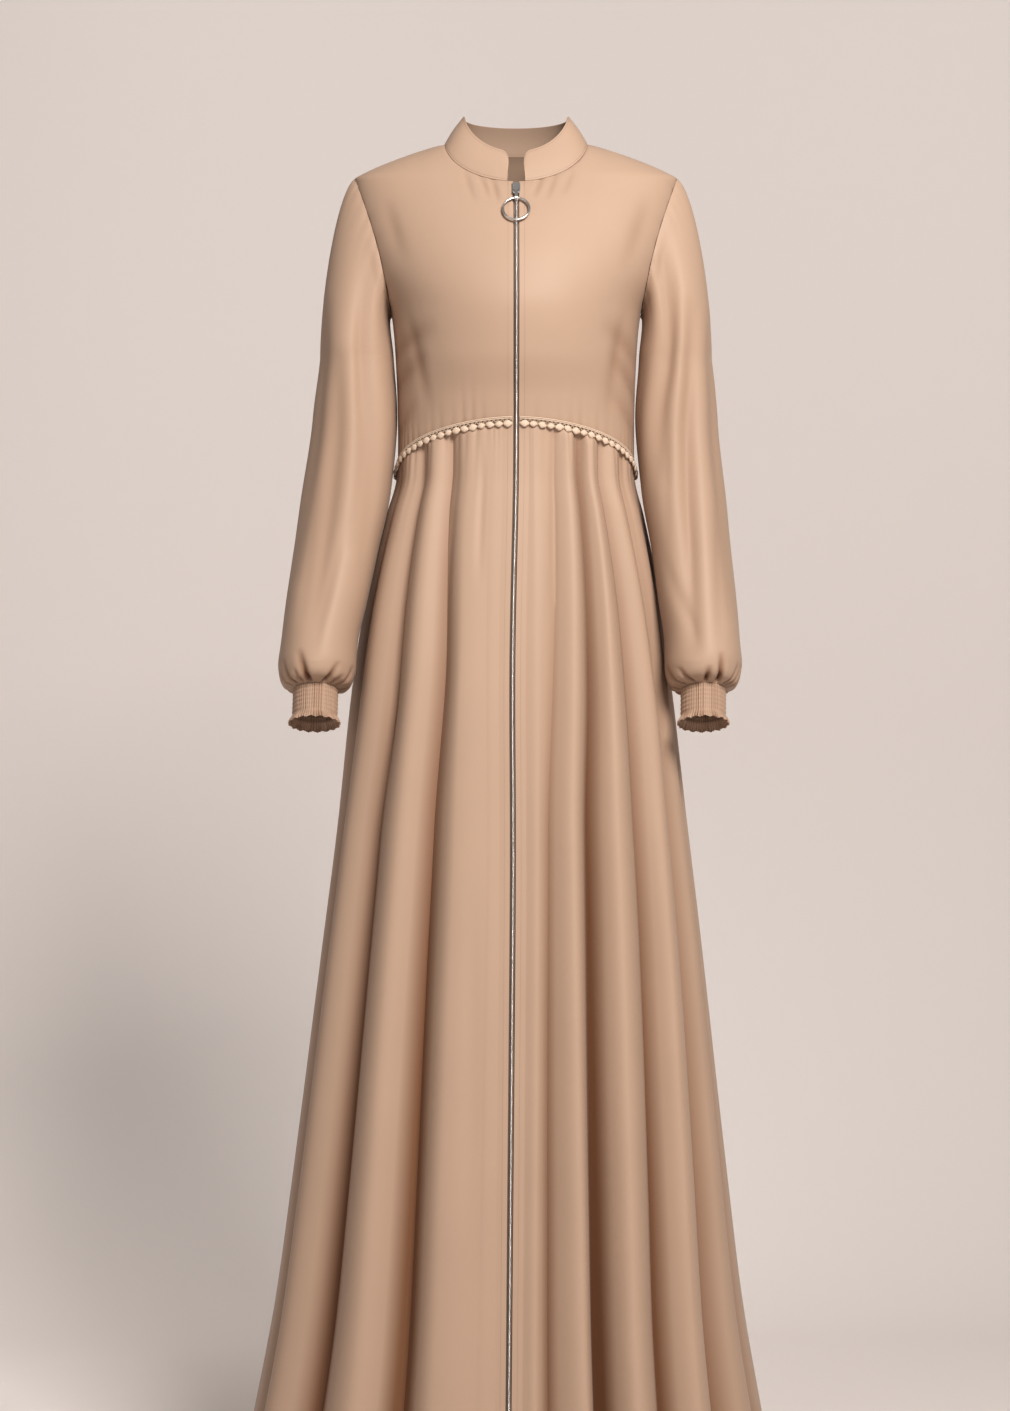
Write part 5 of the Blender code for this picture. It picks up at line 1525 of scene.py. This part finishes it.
class StageSettings(PropertyGroup):
    """Camera and light"""
    distance: length("Distance", "Camera distance in front of the garment", 4.2, 1.0, 12.0)
    height: length("Height", "Camera height", -0.651, -3.0, 3.0)
    aside: length("Aside", "Camera place to the right", -0.0128, -2.0, 2.0)
    lens: number("Lens", "Focal length in millimetres", 92.4, 20.0, 300.0)
    key_power: number("Key light", "Watts of the key light", 150.0, 0.0, 2000.0)
    fill_power: number("Fill light", "Watts of the fill light", 15.0, 0.0, 2000.0)
    wash_power: number("Wash light", "Watts of the light on the backdrop", 3.0, 0.0, 2000.0)
    surround: number("Surround", "Strength of the world's light", 0.27, 0.0, 4.0)
    gamma: number("Tone", "Gamma of the view; below 1 deepens the shadows", 0.86, 0.5, 1.5)
    floor_z: length("Floor", "Height of the floor", -1.56, -4.0, 0.0)


# Lights: place, target, size in metres and colour
AIM = (0.0, 0.0, -0.65)
LIGHTS = {
    "key": ((0.98, -2.65, 1.40), AIM, 1.0, (1.0, 0.975, 0.95)),
    "fill": ((-2.6, -2.8, 0.2), AIM, 2.2, (1.0, 0.98, 0.97)),
    "wash": ((-0.6, 1.0, 2.2), (-0.78, 1.35, -1.56), 1.2, (1.0, 0.98, 0.96)),
}
WASH_SPREAD = 44.0
WORLD_COLOUR = (1.0, 0.955, 0.925, 1.0)
SENSOR_WIDTH = 36.0
# Backdrop: half width, where it begins to curve, radius and steps of the curve, and its height
COVE_HALF = 7.0
COVE_START_Y = 1.0
COVE_RADIUS = 0.9
COVE_STEPS = 20
COVE_HEIGHT = 6.0


def area_light(name, power):
    """Square area light turned towards its target."""
    place, target, size, colour = LIGHTS[name]
    data = bpy.data.lights.new(name, "AREA")
    data.energy = power
    data.size = size
    data.color = colour
    light = bpy.data.objects.new(name, data)
    light.location = place
    light.rotation_euler = (Vector(target) - Vector(place)).to_track_quat("-Z", "Y").to_euler()
    bpy.context.scene.collection.objects.link(light)
    return light


def cove(name, floor_z, material):
    """Floor that curves up into a backdrop: a level run, a quarter circle, then an upright run."""
    turn = np.linspace(0, np.pi / 2, COVE_STEPS)
    curve = COVE_START_Y + COVE_RADIUS * np.sin(turn)
    y = np.concatenate([[-COVE_HALF], curve, [COVE_START_Y + COVE_RADIUS]])
    z = np.concatenate([[0.0], COVE_RADIUS - COVE_RADIUS * np.cos(turn), [COVE_HEIGHT]]) + floor_z
    x = np.array([-COVE_HALF, COVE_HALF])
    points = np.stack(np.broadcast_arrays(x[None, :], y[:, None], z[:, None]), -1).reshape(-1, 3)
    index = np.arange(len(points)).reshape(-1, 2)
    piece = make_object(name, points, [cells(index)[:, ::-1]])
    piece.data.materials.append(material)
    return piece


class ABAYA_OT_stage(Operator):
    """Sets the camera, lights, world and a plain backdrop"""
    bl_idname = "abaya.stage"
    bl_label = "Stage"

    def execute(self, context):
        scene = context.scene
        settings = scene.abaya_stage
        scene.view_settings.view_transform = "Standard"
        scene.view_settings.gamma = settings.gamma
        floor = cove("backdrop", settings.floor_z, finish_of(context, "backdrop"))
        lights = {name: area_light(name, getattr(settings, f"{name}_power")) for name in LIGHTS}
        lights["wash"].data.spread = math.radians(WASH_SPREAD)
        scene.world = bpy.data.worlds.new("surround")
        scene.world.use_nodes = True
        background = scene.world.node_tree.nodes["Background"]
        background.inputs["Color"].default_value = WORLD_COLOUR
        background.inputs["Strength"].default_value = settings.surround
        data = bpy.data.cameras.new("camera")
        data.lens = settings.lens
        data.sensor_width = SENSOR_WIDTH
        camera = bpy.data.objects.new("camera", data)
        camera.location = (settings.aside, -settings.distance, settings.height)
        camera.rotation_euler = (math.radians(90), 0.0, 0.0)
        scene.collection.objects.link(camera)
        scene.camera = camera
        return {"FINISHED"}


class ABAYA_OT_bodice(Operator):
    """Makes the two zip fronts and the back of the bodice"""
    bl_idname = "abaya.bodice"
    bl_label = "Bodice"

    def execute(self, context):
        crepe = finish_of(context, "crepe")
        build_panels("bodice", half_bodice, mirrored_bodice, context.scene.abaya_cloth, crepe)
        return {"FINISHED"}


class ABAYA_OT_skirt(Operator):
    """Makes the flared fronts and the back of the skirt"""
    bl_idname = "abaya.skirt"
    bl_label = "Skirt"

    def execute(self, context):
        crepe = finish_of(context, "crepe")
        build_panels("skirt", skirt_quarter, mirrored_skirt, context.scene.abaya_cloth, crepe)
        return {"FINISHED"}


class ABAYA_OT_sleeves(Operator):
    """Makes the bishop sleeves and their shirred cuffs"""
    bl_idname = "abaya.sleeves"
    bl_label = "Sleeves and cuffs"

    def execute(self, context):
        cloth = context.scene.abaya_cloth
        crepe = finish_of(context, "crepe")
        for build in (build_sleeve, build_cuff):
            for part in SLEEVE_PARTS:
                build(part, cloth, crepe)
        return {"FINISHED"}


class ABAYA_OT_collar(Operator):
    """Makes the stand collar"""
    bl_idname = "abaya.collar"
    bl_label = "Collar"

    def execute(self, context):
        build_collar(context.scene.abaya_cloth, finish_of(context, "crepe"))
        return {"FINISHED"}


class ABAYA_OT_trim(Operator):
    """Makes the crochet bead trim over the waist seam"""
    bl_idname = "abaya.trim"
    bl_label = "Bead trim"

    def execute(self, context):
        yarn = finish_of(context, "trim_yarn")
        start = float(front_angle(TRIM_START_X, WAIST_FRONT_Z))
        quarter = math.pi / 2
        build_trim("trim_front_left", start, quarter, yarn)
        build_trim("trim_front_right", -start, -quarter, yarn)
        build_trim("trim_back", quarter, 3 * quarter, yarn)
        return {"FINISHED"}


class ABAYA_OT_zip(Operator):
    """Makes the zip's tape and teeth"""
    bl_idname = "abaya.zip"
    bl_label = "Zip"

    def execute(self, context):
        build_zip(finish_of(context, "zip_tape"), finish_of(context, "metal"))
        return {"FINISHED"}


class ABAYA_OT_stitching(Operator):
    """Sews the visible rows of stitches"""
    bl_idname = "abaya.stitching"
    bl_label = "Stitching"

    def execute(self, context):
        build_stitching(context.scene.abaya_cloth, finish_of(context, "thread"))
        return {"FINISHED"}


class ABAYA_OT_pull(Operator):
    """Makes the ring and gives the slider and link their metal"""
    bl_idname = "abaya.pull"
    bl_label = "Ring pull"

    def execute(self, context):
        build_pull(finish_of(context, "metal"))
        return {"FINISHED"}


class ABAYA_PT_panel(Panel):
    """Sizes, colours and steps of the abaya"""
    bl_idname = "ABAYA_PT_panel"
    bl_label = "Abaya"
    bl_space_type = "VIEW_3D"
    bl_region_type = "UI"
    bl_category = "Abaya"

    def draw(self, context):
        layout = self.layout
        for settings in (context.scene.abaya_cloth, context.scene.abaya_colours, context.scene.abaya_stage):
            box = layout.box()
            for name in settings.__annotations__:
                box.prop(settings, name)
        for operator in OPERATORS:
            layout.operator(operator.bl_idname)


GROUPS = (ClothSettings, ColourSettings, StageSettings)
OPERATORS = (ABAYA_OT_stage, ABAYA_OT_bodice, ABAYA_OT_skirt, ABAYA_OT_sleeves, ABAYA_OT_collar,
             ABAYA_OT_trim, ABAYA_OT_zip, ABAYA_OT_stitching, ABAYA_OT_pull)


def register():
    for kind in GROUPS + OPERATORS + (ABAYA_PT_panel,):
        bpy.utils.register_class(kind)
    bpy.types.Scene.abaya_cloth = PointerProperty(type=ClothSettings)
    bpy.types.Scene.abaya_colours = PointerProperty(type=ColourSettings)
    bpy.types.Scene.abaya_stage = PointerProperty(type=StageSettings)


def unregister():
    del bpy.types.Scene.abaya_stage
    del bpy.types.Scene.abaya_colours
    del bpy.types.Scene.abaya_cloth
    for kind in reversed(GROUPS + OPERATORS + (ABAYA_PT_panel,)):
        bpy.utils.unregister_class(kind)


def main():
    register()
    bpy.ops.abaya.stage()
    bpy.ops.abaya.bodice()
    bpy.ops.abaya.skirt()
    bpy.ops.abaya.sleeves()
    bpy.ops.abaya.collar()
    bpy.ops.abaya.trim()
    bpy.ops.abaya.zip()
    bpy.ops.abaya.stitching()
    bpy.ops.abaya.pull()


if __name__ == "__main__":
    main()
